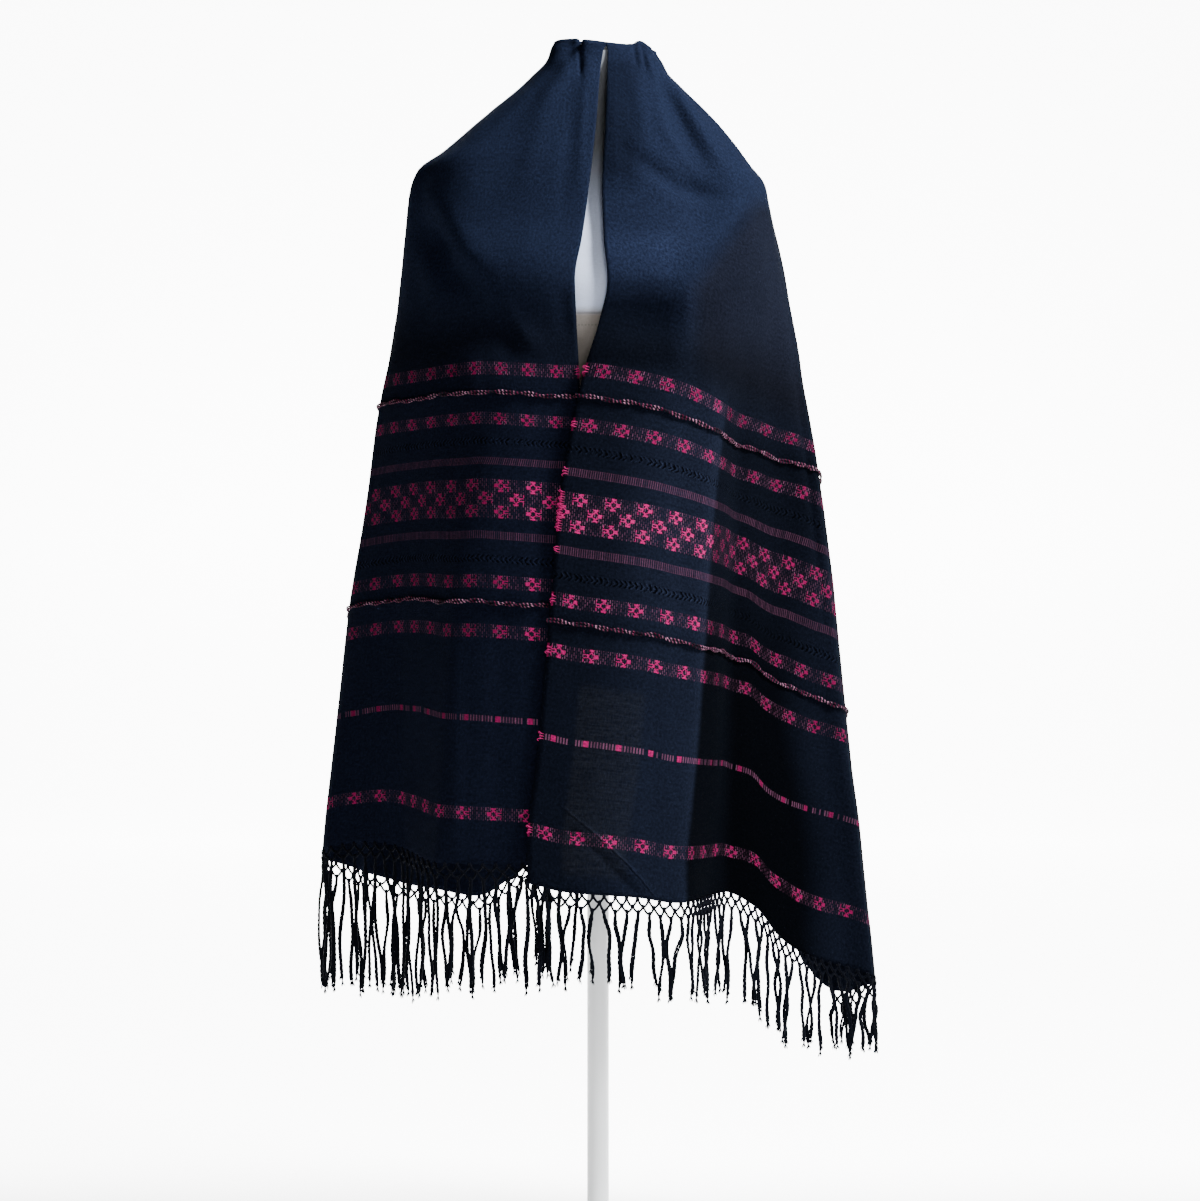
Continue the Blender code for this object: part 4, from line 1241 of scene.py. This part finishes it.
def woven_cotton(cloth):
    """The indigo ground with its brocaded bands."""
    finish = Finish("napped indigo cotton", Sheen_Roughness=0.60, Sheen_Weight=0.004, Specular_IOR_Level=0.01)
    finish.feed(Sheen_Tint=(0.30, 0.50, 0.95, 1.0))
    weave = weave_of(finish, cloth)
    threads = threads_of(weave)
    flower, tick, in_row, painted_row_light = flower_rows(weave)
    chevron, painted_chevron_highlight = chevrons(weave)
    block, dash_tick = dashed_line(weave)
    turn = (weave.t < SELVAGE_TURN) * in_row
    bright = flower.larger(turn * 0.7).larger(block * (0.35 + 0.9 * weave.frayed)).smaller(1.0)
    dull = tick.larger(ladders(weave) * 0.38).larger(dash_tick * 0.75).smaller(1.0)

    ground = right_front_tint_and_painted_light(weave, ground_colour(weave, threads))
    # Painted highlights beside the dark chevron floats.
    ground = finish.mix(painted_chevron_highlight, ground, finish.scaled(ground, 2.0))
    ground = finish.mix(chevron, ground, (0.0, 0.0, 0.0001))
    # Painted shade on the bands and each row's painted light dim or brighten the mauve and pink threads.
    light = painted_band_shade(weave)
    mauve = finish.scaled(cloth.mauve, (0.45 + weave.floats * 1.1) * (0.40 + 0.60 * light))
    strength = (painted_row_light + (1.0 - in_row) * 0.55) * (0.02 + weave.floats * 1.35 + weave.frayed * 0.50)
    pink = finish.scaled(cloth.pink, strength * light)
    coloured = finish.mix(bright, finish.mix(dull, ground, mauve), pink)
    finish.feed(Base_Color=coloured, Roughness=0.92 - 0.2 * bright)
    relief = relief_of(weave, threads) + bright * 0.55 + dull * 0.35 - chevron * 0.6
    finish.raise_by(relief, 0.0006, 0.9)
    return finish.material


def twisted_cord_yarn(cloth, yarn):
    """The cords: indigo, pink and light pink threads spun together, so that light runs come and go."""
    finish = Finish("twisted pink and indigo cord", Sheen_Weight=0.01, Specular_IOR_Level=0.05)
    along, round_ = finish.uv("strand")
    spiral = (along * 1000 / 4.2 + round_) % 1.0
    uneven = finish.noise(finish.place(along * 260.0, round_ * 3.0), 1.0, 2.0, 0.6)
    runs = finish.noise(finish.place(along * 62.0, 0.0), 1.0, 1.0, 0.5)
    fleck = spiral.smoothed(0.02, 0.12) * (1.0 - spiral.smoothed(0.34, 0.46))
    light = runs.smoothed(0.44, 0.60)
    thread = finish.mix(light, tuple(c * 0.13 for c in cloth.pink), yarn.light_pink)
    colour = finish.mix(fleck * (0.20 + 0.80 * runs.smoothed(0.36, 0.46)), cloth.indigo, thread)
    colour = finish.scaled(colour, (uneven * 2.6 - 0.35).larger(0.08).smaller(1.35))
    threads = ((along * 1000 / 4.2 + round_) * (2 * math.pi)).sine()
    finish.feed(Base_Color=colour, Roughness=0.80 + uneven * 0.15)
    finish.raise_by(threads * 0.6 + uneven * 0.5, 0.0004, 0.9)
    return finish.material


def fringe_yarn(yarn):
    """Black yarn, two plies, a little fuzzy."""
    finish = Finish("black twisted yarn", Sheen_Weight=0.01, Specular_IOR_Level=0.03)
    finish.feed(Sheen_Tint=(0.45, 0.55, 0.80))
    along, round_ = finish.uv("strand")
    fuzz = finish.noise(finish.place(along * 900.0, round_ * 6.0), 1.0, 3.0, 0.6)
    patches = finish.noise(finish.object_place(), 40.0, 2.0, 0.5)
    threads = ((along * 1000 / 1.8 + round_ * 2.0) * (2 * math.pi)).sine()
    colour = finish.mix(patches, yarn.black, tuple(c * 1.6 for c in yarn.black))
    finish.feed(Base_Color=finish.scaled(colour, 0.6 + fuzz * 0.8), Roughness=0.84 + fuzz * 0.12)
    finish.raise_by(threads * 0.4 + fuzz * 0.6, 0.0003, 0.8)
    return finish.material


def loop_yarn(cloth):
    """The pink weft where it turns round the selvage."""
    finish = Finish("pink weft loops", Sheen_Weight=0.05, Specular_IOR_Level=0.15)
    along, round_ = finish.uv("strand")
    fuzz = finish.noise(finish.place(along * 900.0, round_ * 5.0), 1.0, 2.0, 0.6)
    finish.feed(Base_Color=finish.scaled(cloth.pink, 0.35 + fuzz * 0.9), Roughness=0.82 + fuzz * 0.12)
    finish.raise_by(fuzz, 0.0002, 0.7)
    return finish.material


def linen_cover(form, name):
    """Plain-woven linen, a little uneven in its threads, darker and browner below the bust, paler over the
    bust with painted light, and dark grey at the neck as painted shade.
    """
    finish = Finish(name, Sheen_Weight=0.10, Specular_IOR_Level=0.30)
    place = finish.object_place()
    x, y, z = finish.object_parts()
    girth = finish.math("ARCTAN2", x, 0.0 - y) * 0.13
    slubs = finish.noise(finish.place(girth * 160.0, z * 1400.0), 1.0, 3.0, 0.6)
    uprights = finish.noise(finish.place(girth * 1400.0, z * 160.0), 1.0, 3.0, 0.6)
    broad = finish.noise(place, 7.0, 2.0, 0.5)
    threads = 2 * math.pi / 0.0010
    weave = (girth * threads).sine() * (z * threads).sine()
    # Painted light over the bust, then painted shade at the neck and upper chest.
    body = finish.mix(z.smoothed(1.078, 1.092), form.linen, form.pale_linen_bust_lit)
    body = finish.mix(z.smoothed(1.180, 1.285), body, form.painted_neck_shade)
    waist_seam = 1.0 - abs(z - 1.0820).smoothed(0.0006, 0.0020)
    stitches = (1.0 - abs(z - 1.0690).smoothed(0.0004, 0.0012)) * ((girth * 1000 / 3.4) % 1.0 < 0.6)
    body = finish.scaled(body, (0.94 + broad * 0.12) * (1.0 - waist_seam * 0.30 - stitches * 0.22))
    body = finish.scaled(body, 0.66 + slubs * 0.34 + uprights * 0.30)
    finish.feed(Base_Color=body, Roughness=0.86 + slubs * 0.1)
    finish.raise_by(weave * 0.25 + slubs * 0.4 + uprights * 0.4, 0.0004, 0.6)
    return finish.material


def painted_steel(form):
    """White satin paint with a faint orange-peel skin and a little wear."""
    finish = Finish("white satin paint", Specular_IOR_Level=0.5, Coat_Roughness=0.25)
    place = finish.object_place()
    peel = finish.noise(place, 420.0, 2.0, 0.5)
    smudge = finish.noise(place, 14.0, 4.0, 0.6)
    worn = smudge.smoothed(0.62, 0.82)
    colour = finish.mix(worn * 0.35, form.paint, tuple(c * 0.8 for c in form.paint))
    finish.feed(Base_Color=colour, Roughness=0.32 + smudge * 0.22)
    finish.raise_by(peel, 0.0002, 0.25)
    return finish.material


def studio_paper(stage):
    """Seamless pale paper."""
    finish = Finish("pale seamless paper", Roughness=0.95, Specular_IOR_Level=0.1, Emission_Strength=1.0)
    grain = finish.noise(finish.object_place(), 60.0, 3.0, 0.6)
    x, y, z = finish.object_parts()
    glow = y.smoothed(-0.10, 0.60) * stage.glow
    finish.feed(
        Base_Color=finish.scaled(stage.floor, 0.985 + grain * 0.03),
        Emission_Color=finish.scaled((1.0, 1.0, 1.0), glow),
    )
    return finish.material


# ---------------------------------------------------------------- operators
class REBOZO_OT_cloth(bpy.types.Operator):
    """Drapes the one woven length round the form"""

    bl_idname = "rebozo.cloth"
    bl_label = "Woven cloth"

    def execute(self, context):
        cloth = context.scene.rebozo_cloth
        halves = [Drape(LEFT, cloth), Drape(RIGHT, cloth)]
        points = np.concatenate([halves[0].points, halves[1].points[:, -2::-1]], axis=1)
        normals = np.concatenate([halves[0].normals, halves[1].normals[:, -2::-1]], axis=1)
        points = np.concatenate([self.turned_in(points[0], normals[0]), points])
        turned = len(points) - len(halves[0].points)
        rows, columns = points.shape[0] - 1, points.shape[1] - 1
        bm = bmesh.new()
        uv = bm.loops.layers.uv.new("weave")
        bmesh.ops.create_grid(bm, x_segments=columns, y_segments=rows, size=0.5)
        places = {}
        for vert in bm.verts:
            i = round((0.5 - vert.co.y) * rows)
            j = round((vert.co.x + 0.5) * columns)
            vert.co = points[i, j]
            places[vert] = (i, j)
        middle = halves[0].points.shape[1] - 1
        for face in bm.faces:
            left = min(places[vert][1] for vert in face.verts) < middle
            half = halves[0] if left else halves[1]
            for loop in face.loops:
                i, j = places[loop.vert]
                k = j if left else columns - j
                row = max(i - turned, 0)
                height = half.height[row, k] + 0.004 * max(turned - i, 0)
                loop[uv].uv = (half.woven[row, k] * (-1 if left else 1), height)
        made = new_object(
            "rebozo_cloth", bm, woven_cotton(cloth), ("left_front", "right_front", "back")
        )
        wall = made.modifiers.new("wall", "SOLIDIFY")
        wall.thickness = cloth.wall
        wall.offset = 0.0
        return {"FINISHED"}

    @staticmethod
    def turned_in(rim, outward):
        """Three rows above the rim, where the cloth rolls over the neck of the form."""
        inward = -outward * (1.0, 1.0, 0.0)
        down = np.array((0.0, 0.0, -1.0))
        rows = [(0.0080, 0.0004), (0.0045, 0.0012), (0.0018, 0.0010)]
        return np.array([rim + inward * deep - down * high for deep, high in rows])


class REBOZO_OT_cords(bpy.types.Operator):
    """Lays the twisted weft cords on the cloth, with the loops of weft at the front selvages"""

    bl_idname = "rebozo.cords"
    bl_label = "Twisted cords"

    def execute(self, context):
        cloth, yarn = context.scene.rebozo_cloth, context.scene.rebozo_yarn
        finish = twisted_cord_yarn(cloth, yarn)
        loops = []
        for side in (LEFT, RIGHT):
            drape = Drape(side, cloth)
            bm = bmesh.new()
            for height in CORD_HEIGHTS:
                self.lay_cord(bm, drape.row_of(height), cloth, yarn, height)
            close_strands(bm)
            new_object(f"{side}_cords", bm, finish)
            for height in [row.height for row in FLOWER_ROWS] + [DASH_LINE, *LADDERS]:
                loops += self.loop_paths(drape, height, side)
        bm = bmesh.new()
        add_strands(bm, loops, 0.00042, 5)
        close_strands(bm)
        new_object("weft_loops", bm, loop_yarn(cloth))
        return {"FINISHED"}

    @staticmethod
    def lay_cord(bm, line, cloth, yarn, seed):
        """Two strands that cross now and then, laid on the cloth and run a little past the front edge."""
        length = min(line.length, cloth.width)
        along = np.linspace(-0.004, length, int(length / 0.0022))
        out, tangent = line.normal(along), line.tangent(along)
        up = unit(np.cross(tangent, out))
        up = up * np.sign(up[:, 2:3])
        before = np.minimum(along, 0.0)[:, None]
        wander = 0.0007 * np.sin(along * 71 + seed * 40) + 0.0005 * np.sin(along * 173 + seed * 90)
        middle = line.point(np.maximum(along, 0.0)) + line.tangent(np.zeros(len(along))) * before
        middle = middle + up * wander[:, None] + out * (cloth.wall / 2 + yarn.cord_radius * 1.5)
        turn = 2 * np.pi * along / yarn.cord_pitch + 1.1 * np.sin(along * 37 + seed * 11) + seed * 20
        lean = (up * np.cos(turn)[:, None] * 1.35 + out * np.sin(turn)[:, None] * 0.6) * yarn.cord_radius
        swell = yarn.cord_radius * (1.0 + 0.12 * np.sin(along * 410 + seed * 7))
        add_strands(bm, [middle + lean, middle - lean], swell, 7)

    @staticmethod
    def loop_paths(drape, height, side):
        """Short loops of pink weft where a band turns round the front selvage."""
        big = abs(height - 0.404) < 0.02
        up = np.array((0.0, 0.0, 1.0))
        paths = []
        for k in range(6 if big else 3):
            at = height + (k - (2.5 if big else 1)) * 0.0027
            line = drape.row_of(at)
            point, out, tangent = line.point(0.0008), line.normal(0.002), line.tangent(0.004)
            reach = 0.0016 + 0.0014 * math.sin(at * 900 + SIGN[side])
            lean = 0.0014 * math.sin(at * 1700)
            paths.append([
                point + tangent * 0.0050 + out * 0.0012,
                point + tangent * 0.0012 + out * 0.0016 + up * 0.0006,
                point - tangent * reach * 0.7 + out * 0.0011 + up * (0.0010 + lean),
                point - tangent * reach + out * 0.0002 + up * lean,
                point - tangent * reach * 0.6 - out * 0.0006 - up * (0.0012 - lean),
                point + tangent * 0.0015 - out * 0.0008 - up * 0.0012,
            ])
        return paths


class REBOZO_OT_fringe(bpy.types.Operator):
    """Knots the net and hangs the strands of both ends"""

    bl_idname = "rebozo.fringe"
    bl_label = "Knotted fringe"

    def execute(self, context):
        cloth, yarn = context.scene.rebozo_cloth, context.scene.rebozo_yarn
        finish = fringe_yarn(yarn)
        for side in (LEFT, RIGHT):
            line = Drape(side, cloth).hem_line()
            bm = bmesh.new()
            knots = self.knot_rows(line, yarn, side)
            add_strands(bm, self.net_paths(knots), yarn.net_radius, 5)
            for row, size in zip(knots, (0.0022, 0.0023, 0.0024)):
                self.add_knots(bm, row, size)
            strands = self.strand_paths(line, knots[2], side, yarn)
            self.add_plies(bm, strands, yarn)
            self.fray(bm, strands)
            close_strands(bm)
            new_object(f"{side}_knotted_fringe", bm, finish, (f"{side}_fringe",))
        return {"FINISHED"}

    @staticmethod
    def knot_rows(line, yarn, side):
        """Three rows of knots under the hem, as (distance along, point). The middle row is half a cell on."""
        pitch = line.length / yarn.net_cells
        rows = []
        for r in range(3):
            count = yarn.net_cells + (1 if r != 1 else 0)
            row = []
            for i in range(count):
                along = (i + (0.5 if r == 1 else 0.0)) * pitch
                shake = math.sin(i * 12.9898 + r * 4.1 + SIGN[side])
                along = min(max(along + 0.0011 * shake * (r > 0), 0.0006), line.length - 0.0006)
                below = 0.0012 + r * yarn.net_row - 0.0010 * math.sin(i * 7.3 + r * 2.0) * (r > 0)
                row.append((along, line.point(along) - np.array((0.0, 0.0, below))))
            rows.append(row)
        return rows

    @staticmethod
    def net_paths(knots):
        """The yarns of the net, each slack between two knots."""
        pairs = []
        for i, knot in enumerate(knots[1]):
            pairs += [(knots[0][i], knot), (knots[0][i + 1], knot)]
            pairs += [(knot, knots[2][i]), (knot, knots[2][i + 1])]
        share = np.linspace(0.0, 1.0, 8)[:, None]
        paths = []
        for n, (start, end) in enumerate(pairs):
            sag = np.array((0.0, 0.0007 * math.sin(n * 2.3), -0.0013 * (1 + 0.5 * math.sin(n * 3.7))))
            paths.append(start[1] + (end[1] - start[1]) * share + sag * np.sin(np.pi * share))
        return paths

    @staticmethod
    def add_knots(bm, row, size):
        """Round knots, a little longer than wide."""
        share = np.linspace(-1.0, 1.0, 7)
        down = np.array((0.0, 0.0, -1.25 * size))
        paths = [point + share[:, None] * down for along, point in row]
        add_strands(bm, paths, size * np.sqrt(np.maximum(1.0 - share ** 2, 0.0)), 7)

    @staticmethod
    def strand_paths(line, knots, side, yarn):
        """The middle lines of the strands: two leave each knot, lean to their bunch and wave as they fall."""
        index = np.arange(2 * len(knots))
        along = np.array([knot[0] for knot in knots])[index // 2]
        start = np.array([knot[1] for knot in knots])[index // 2]
        part = np.where(index % 2, 1.0, -1.0)[:, None]
        wave = np.sin(index * 2.399 + SIGN[side]) + 0.6 * np.sin(index * 0.731 + 2.0 * SIGN[side])
        reach = smooth(REACHES[side], "length", along) + 0.006 * wave
        lean = np.zeros(len(index))
        for bunch in BUNCHES[side]:
            in_bunch = np.abs(along - bunch.along) < bunch.half
            lean = np.where(in_bunch, (bunch.along - along) * bunch.pull * 0.62, lean)
        share = np.linspace(0.0, 1.0, 56)[None, :]
        fall = share * (reach - 0.0012 - 2 * yarn.net_row)[:, None]
        seed = (index // 2 * 1.7 + SIGN[side] * 0.9)[:, None]
        calm = ease(share * 3)
        sway = lean[:, None] * ease(share * 1.7) + part * 0.0009 * ease(share * 6)
        sway = sway + calm * 0.0030 * np.sin(share * 3.4 + seed * 2.1)
        sway = sway + calm * 0.0007 * np.sin(share * 11 + seed * 3.3)
        depth = calm * (0.0030 * np.sin(share * 4.2 + seed * 1.3) + 0.0006 * np.sin(share * 12 + seed))
        depth = depth + 0.0022 * np.sin(seed * 5.1) * ease(share * 2)
        level = np.array((1.0, 1.0, 0.0))
        tangent, out = unit(line.tangent(along) * level), unit(line.normal(along) * level)
        down = np.array((0.0, 0.0, -1.0))
        return (
            start[:, None] + tangent[:, None] * sway[..., None] + out[:, None] * depth[..., None]
            + down * fall[..., None]
        )

    @staticmethod
    def add_plies(bm, strands, yarn):
        phase = np.arange(len(strands)) * 1.3
        plies = wound(strands, yarn.ply_radius * 0.34, yarn.ply_turn, phase)
        share = np.linspace(0.0, 1.0, strands.shape[1])
        taper = 1.0 - 0.3 * ease((share - 0.94) / 0.06)
        radii = yarn.ply_radius * (1.0 + 0.04 * np.sin(share * 60)) * taper
        add_strands(bm, plies, radii, 4)

    @staticmethod
    def fray(bm, strands):
        """The brush of loose threads at the tip of each strand."""
        threads = []
        for n, strand in enumerate(strands):
            tip = strand[-1]
            for k in range(7):
                turn = n * 5.1 + k * 2.4
                spread = np.array((math.cos(turn), math.sin(turn), 0.0)) * (0.0012 + 0.0016 * (k % 3) / 2)
                tail = np.array((0.0, 0.0, -0.0032 - 0.0036 * abs(math.sin(n * 7 + k * 1.9))))
                threads.append([
                    tip - tail * 0.4,
                    tip + spread * 0.4 + tail * 0.2,
                    tip + spread * 0.8 + tail * 0.6,
                    tip + spread + tail,
                ])
        add_strands(bm, threads, 0.00050, 3)


class REBOZO_OT_form(bpy.types.Operator):
    """Covers the limbless torso and the neck in linen"""

    bl_idname = "rebozo.form"
    bl_label = "Dress form"

    def execute(self, context):
        form = context.scene.rebozo_form
        bm = bmesh.new()
        bmesh.ops.create_cone(bm, cap_ends=True, segments=form.sides, radius1=1.0, radius2=1.0, depth=1.0)
        uprights = [e for e in bm.edges if abs(e.verts[0].co.z - e.verts[1].co.z) > 0.5]
        rings = 88
        bmesh.ops.subdivide_edges(bm, edges=uprights, cuts=rings - 1, use_grid_fill=True)
        high, low = TORSO[0].drop, TORSO[-1].drop
        for vert in bm.verts:
            drop = high + (low - high) * (0.5 - vert.co.z)
            half = float(smooth(TORSO, "half", drop))
            depth = float(smooth(TORSO, "front" if vert.co.y < 0 else "back", drop))
            angle = math.atan2(vert.co.x, -vert.co.y)
            vert.co = Vector((vert.co.x * half, vert.co.y * depth, RIM_HEIGHT - drop))
            vert.co += Vector((math.sin(angle), -math.cos(angle), 0.0)) * self.seam_relief(angle, drop)
        rims = [e for e in bm.edges if len(e.link_faces) == 2 and e.calc_face_angle(0.0) > 1.0]
        bmesh.ops.bevel(bm, geom=rims, offset=0.0008, segments=2, profile=0.5, affect="EDGES", material=-1)
        new_object("linen_torso", bm, linen_cover(form, "natural linen"), ("form_torso",))
        low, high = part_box("form_neck_cap")
        high.z = RIM_HEIGHT - 0.0030
        cap = bmesh.new()
        round_, depth = (high.x - low.x) / 2, (high.y - low.y) / 2
        bmesh.ops.create_cone(
            cap, cap_ends=True, segments=form.sides, radius1=1.0, radius2=1.0, depth=high.z - low.z
        )
        for vert in cap.verts:
            vert.co = Vector((vert.co.x * round_, vert.co.y * depth, vert.co.z + (high.z + low.z) / 2))
        rims = [e for e in cap.edges if len(e.link_faces) == 2 and e.calc_face_angle(0.0) > 1.0]
        bmesh.ops.bevel(cap, geom=rims, offset=0.0012, segments=3, profile=0.5, affect="EDGES", material=-1)
        # The neck is coloured with the painted shade.
        new_object("linen_neck", cap, linen_cover(form, "dusty linen"), ("form_neck_cap",))
        return {"FINISHED"}

    @staticmethod
    def seam_relief(angle, drop):
        """The seams lie a little below the linen: centre front and back, princess seams, sides and waist."""
        out = 0.0
        for at in (0.0, 0.62, -0.62, math.pi / 2, -math.pi / 2, 2.45, -2.45, math.pi, -math.pi):
            out -= 0.0006 * math.exp(-(((angle - at) * 0.13) / 0.0016) ** 2)
        out -= 0.0005 * math.exp(-((drop - 0.318) / 0.0020) ** 2)
        out -= 0.0005 * math.exp(-((drop - 0.460) / 0.0020) ** 2)
        return out * float(ease((drop - 0.05) / 0.03)) * float(ease((0.70 - drop) / 0.02))


class REBOZO_OT_stand(bpy.types.Operator):
    """Paints the flange, the pole, its hub and the round base"""

    bl_idname = "rebozo.stand"
    bl_label = "Stand"

    def execute(self, context):
        paint = painted_steel(context.scene.rebozo_form)
        for name in ("form_flange", "form_pole", "form_hub", "form_base"):
            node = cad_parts[name]
            node.data.materials.clear()
            node.data.materials.append(paint)
        return {"FINISHED"}


class REBOZO_OT_stage(bpy.types.Operator):
    """Sets the pale floor, the soft lights and the camera"""

    bl_idname = "rebozo.stage"
    bl_label = "Stage"

    def execute(self, context):
        stage = context.scene.rebozo_stage
        self.lay_paper(stage)
        self.hang_lights(context)
        camera = bpy.data.cameras.new("camera")
        camera.sensor_fit = "HORIZONTAL"
        camera.sensor_width = 36.0
        camera.lens = stage.focal
        camera.shift_x = 2 / 1200
        made = bpy.data.objects.new("camera", camera)
        made.location = (0.0, -stage.distance, stage.height)
        made.rotation_euler = (math.radians(90), 0.0, 0.0)
        context.scene.collection.objects.link(made)
        context.scene.camera = made
        return {"FINISHED"}

    @staticmethod
    def lay_paper(stage):
        """A floor that curves up into a wall behind the form."""
        bm = bmesh.new()
        bmesh.ops.create_grid(bm, x_segments=1, y_segments=40, size=1.0)
        bend, back, tall, near = 1.0, 5.0, 4.6, -4.5
        for vert in bm.verts:
            share = (vert.co.y + 1) / 2
            if share <= 0.25:
                y, z = near + (back - near) * share / 0.25, 0.0
            elif share <= 0.75:
                angle = math.pi / 2 * (share - 0.25) / 0.5
                y, z = back + bend * math.sin(angle), bend * (1 - math.cos(angle))
            else:
                y, z = back + bend, bend + (tall - bend) * (share - 0.75) / 0.25
            vert.co = Vector((vert.co.x * 2.35, y, z))
        mesh = bpy.data.meshes.new("paper")
        bm.to_mesh(mesh)
        bm.free()
        mesh.shade_smooth()
        mesh.materials.append(studio_paper(stage))
        made = bpy.data.objects.new("paper", mesh)
        bpy.context.scene.collection.objects.link(made)

    @staticmethod
    def hang_lights(context):
        Light = namedtuple("Light", "name place aim size power colour")
        lights = [
            Light("overhead", (1.50, -0.90, 2.90), (0.02, -0.05, 1.10), 0.7, 310, (0.94, 0.97, 1.0)),
            Light("front", (0.60, -3.3, 1.5), (0.0, 0.0, 0.70), 1.0, 34, (1.0, 0.98, 0.97)),
        ]
        for light in lights:
            data = bpy.data.lights.new(light.name, "AREA")
            data.shape = "DISK"
            data.size = light.size
            data.energy = light.power
            data.color = light.colour
            made = bpy.data.objects.new(light.name, data)
            made.location = light.place
            towards = Vector(light.aim) - Vector(light.place)
            made.rotation_euler = towards.to_track_quat("-Z", "Y").to_euler()
            context.scene.collection.objects.link(made)
        world = bpy.data.worlds.new("studio")
        world.use_nodes = True
        background = world.node_tree.nodes["Background"]
        background.inputs["Color"].default_value = (0.95, 0.97, 1.0, 1.0)
        background.inputs["Strength"].default_value = 0.10
        context.scene.world = world


class REBOZO_PT_panel(bpy.types.Panel):
    """Lists the pieces of the rebozo and its form"""

    bl_idname = "REBOZO_PT_panel"
    bl_label = "Rebozo"
    bl_space_type = "VIEW_3D"
    bl_region_type = "UI"
    bl_category = "Rebozo"

    def draw(self, context):
        for operator in OPERATORS:
            self.layout.operator(operator.bl_idname)
        for name in SETTINGS:
            group = getattr(context.scene, name)
            box = self.layout.box()
            for key in group.bl_rna.properties.keys():
                if key not in ("rna_type", "name"):
                    box.prop(group, key)


OPERATORS = (
    REBOZO_OT_form, REBOZO_OT_stand, REBOZO_OT_cloth, REBOZO_OT_cords, REBOZO_OT_fringe, REBOZO_OT_stage,
)
SETTINGS = {
    "rebozo_cloth": RebozoClothSettings,
    "rebozo_yarn": RebozoYarnSettings,
    "rebozo_form": RebozoFormSettings,
    "rebozo_stage": RebozoStageSettings,
}


def register():
    for kind in (*SETTINGS.values(), *OPERATORS, REBOZO_PT_panel):
        bpy.utils.register_class(kind)
    for name, kind in SETTINGS.items():
        setattr(bpy.types.Scene, name, bpy.props.PointerProperty(type=kind))


def unregister():
    for name in SETTINGS:
        delattr(bpy.types.Scene, name)
    for kind in (REBOZO_PT_panel, *reversed(OPERATORS), *reversed(tuple(SETTINGS.values()))):
        bpy.utils.unregister_class(kind)


def main():
    register()
    bpy.ops.rebozo.form()
    bpy.ops.rebozo.stand()
    bpy.ops.rebozo.cloth()
    bpy.ops.rebozo.cords()
    bpy.ops.rebozo.fringe()
    bpy.ops.rebozo.stage()


if __name__ == "__main__":
    main()
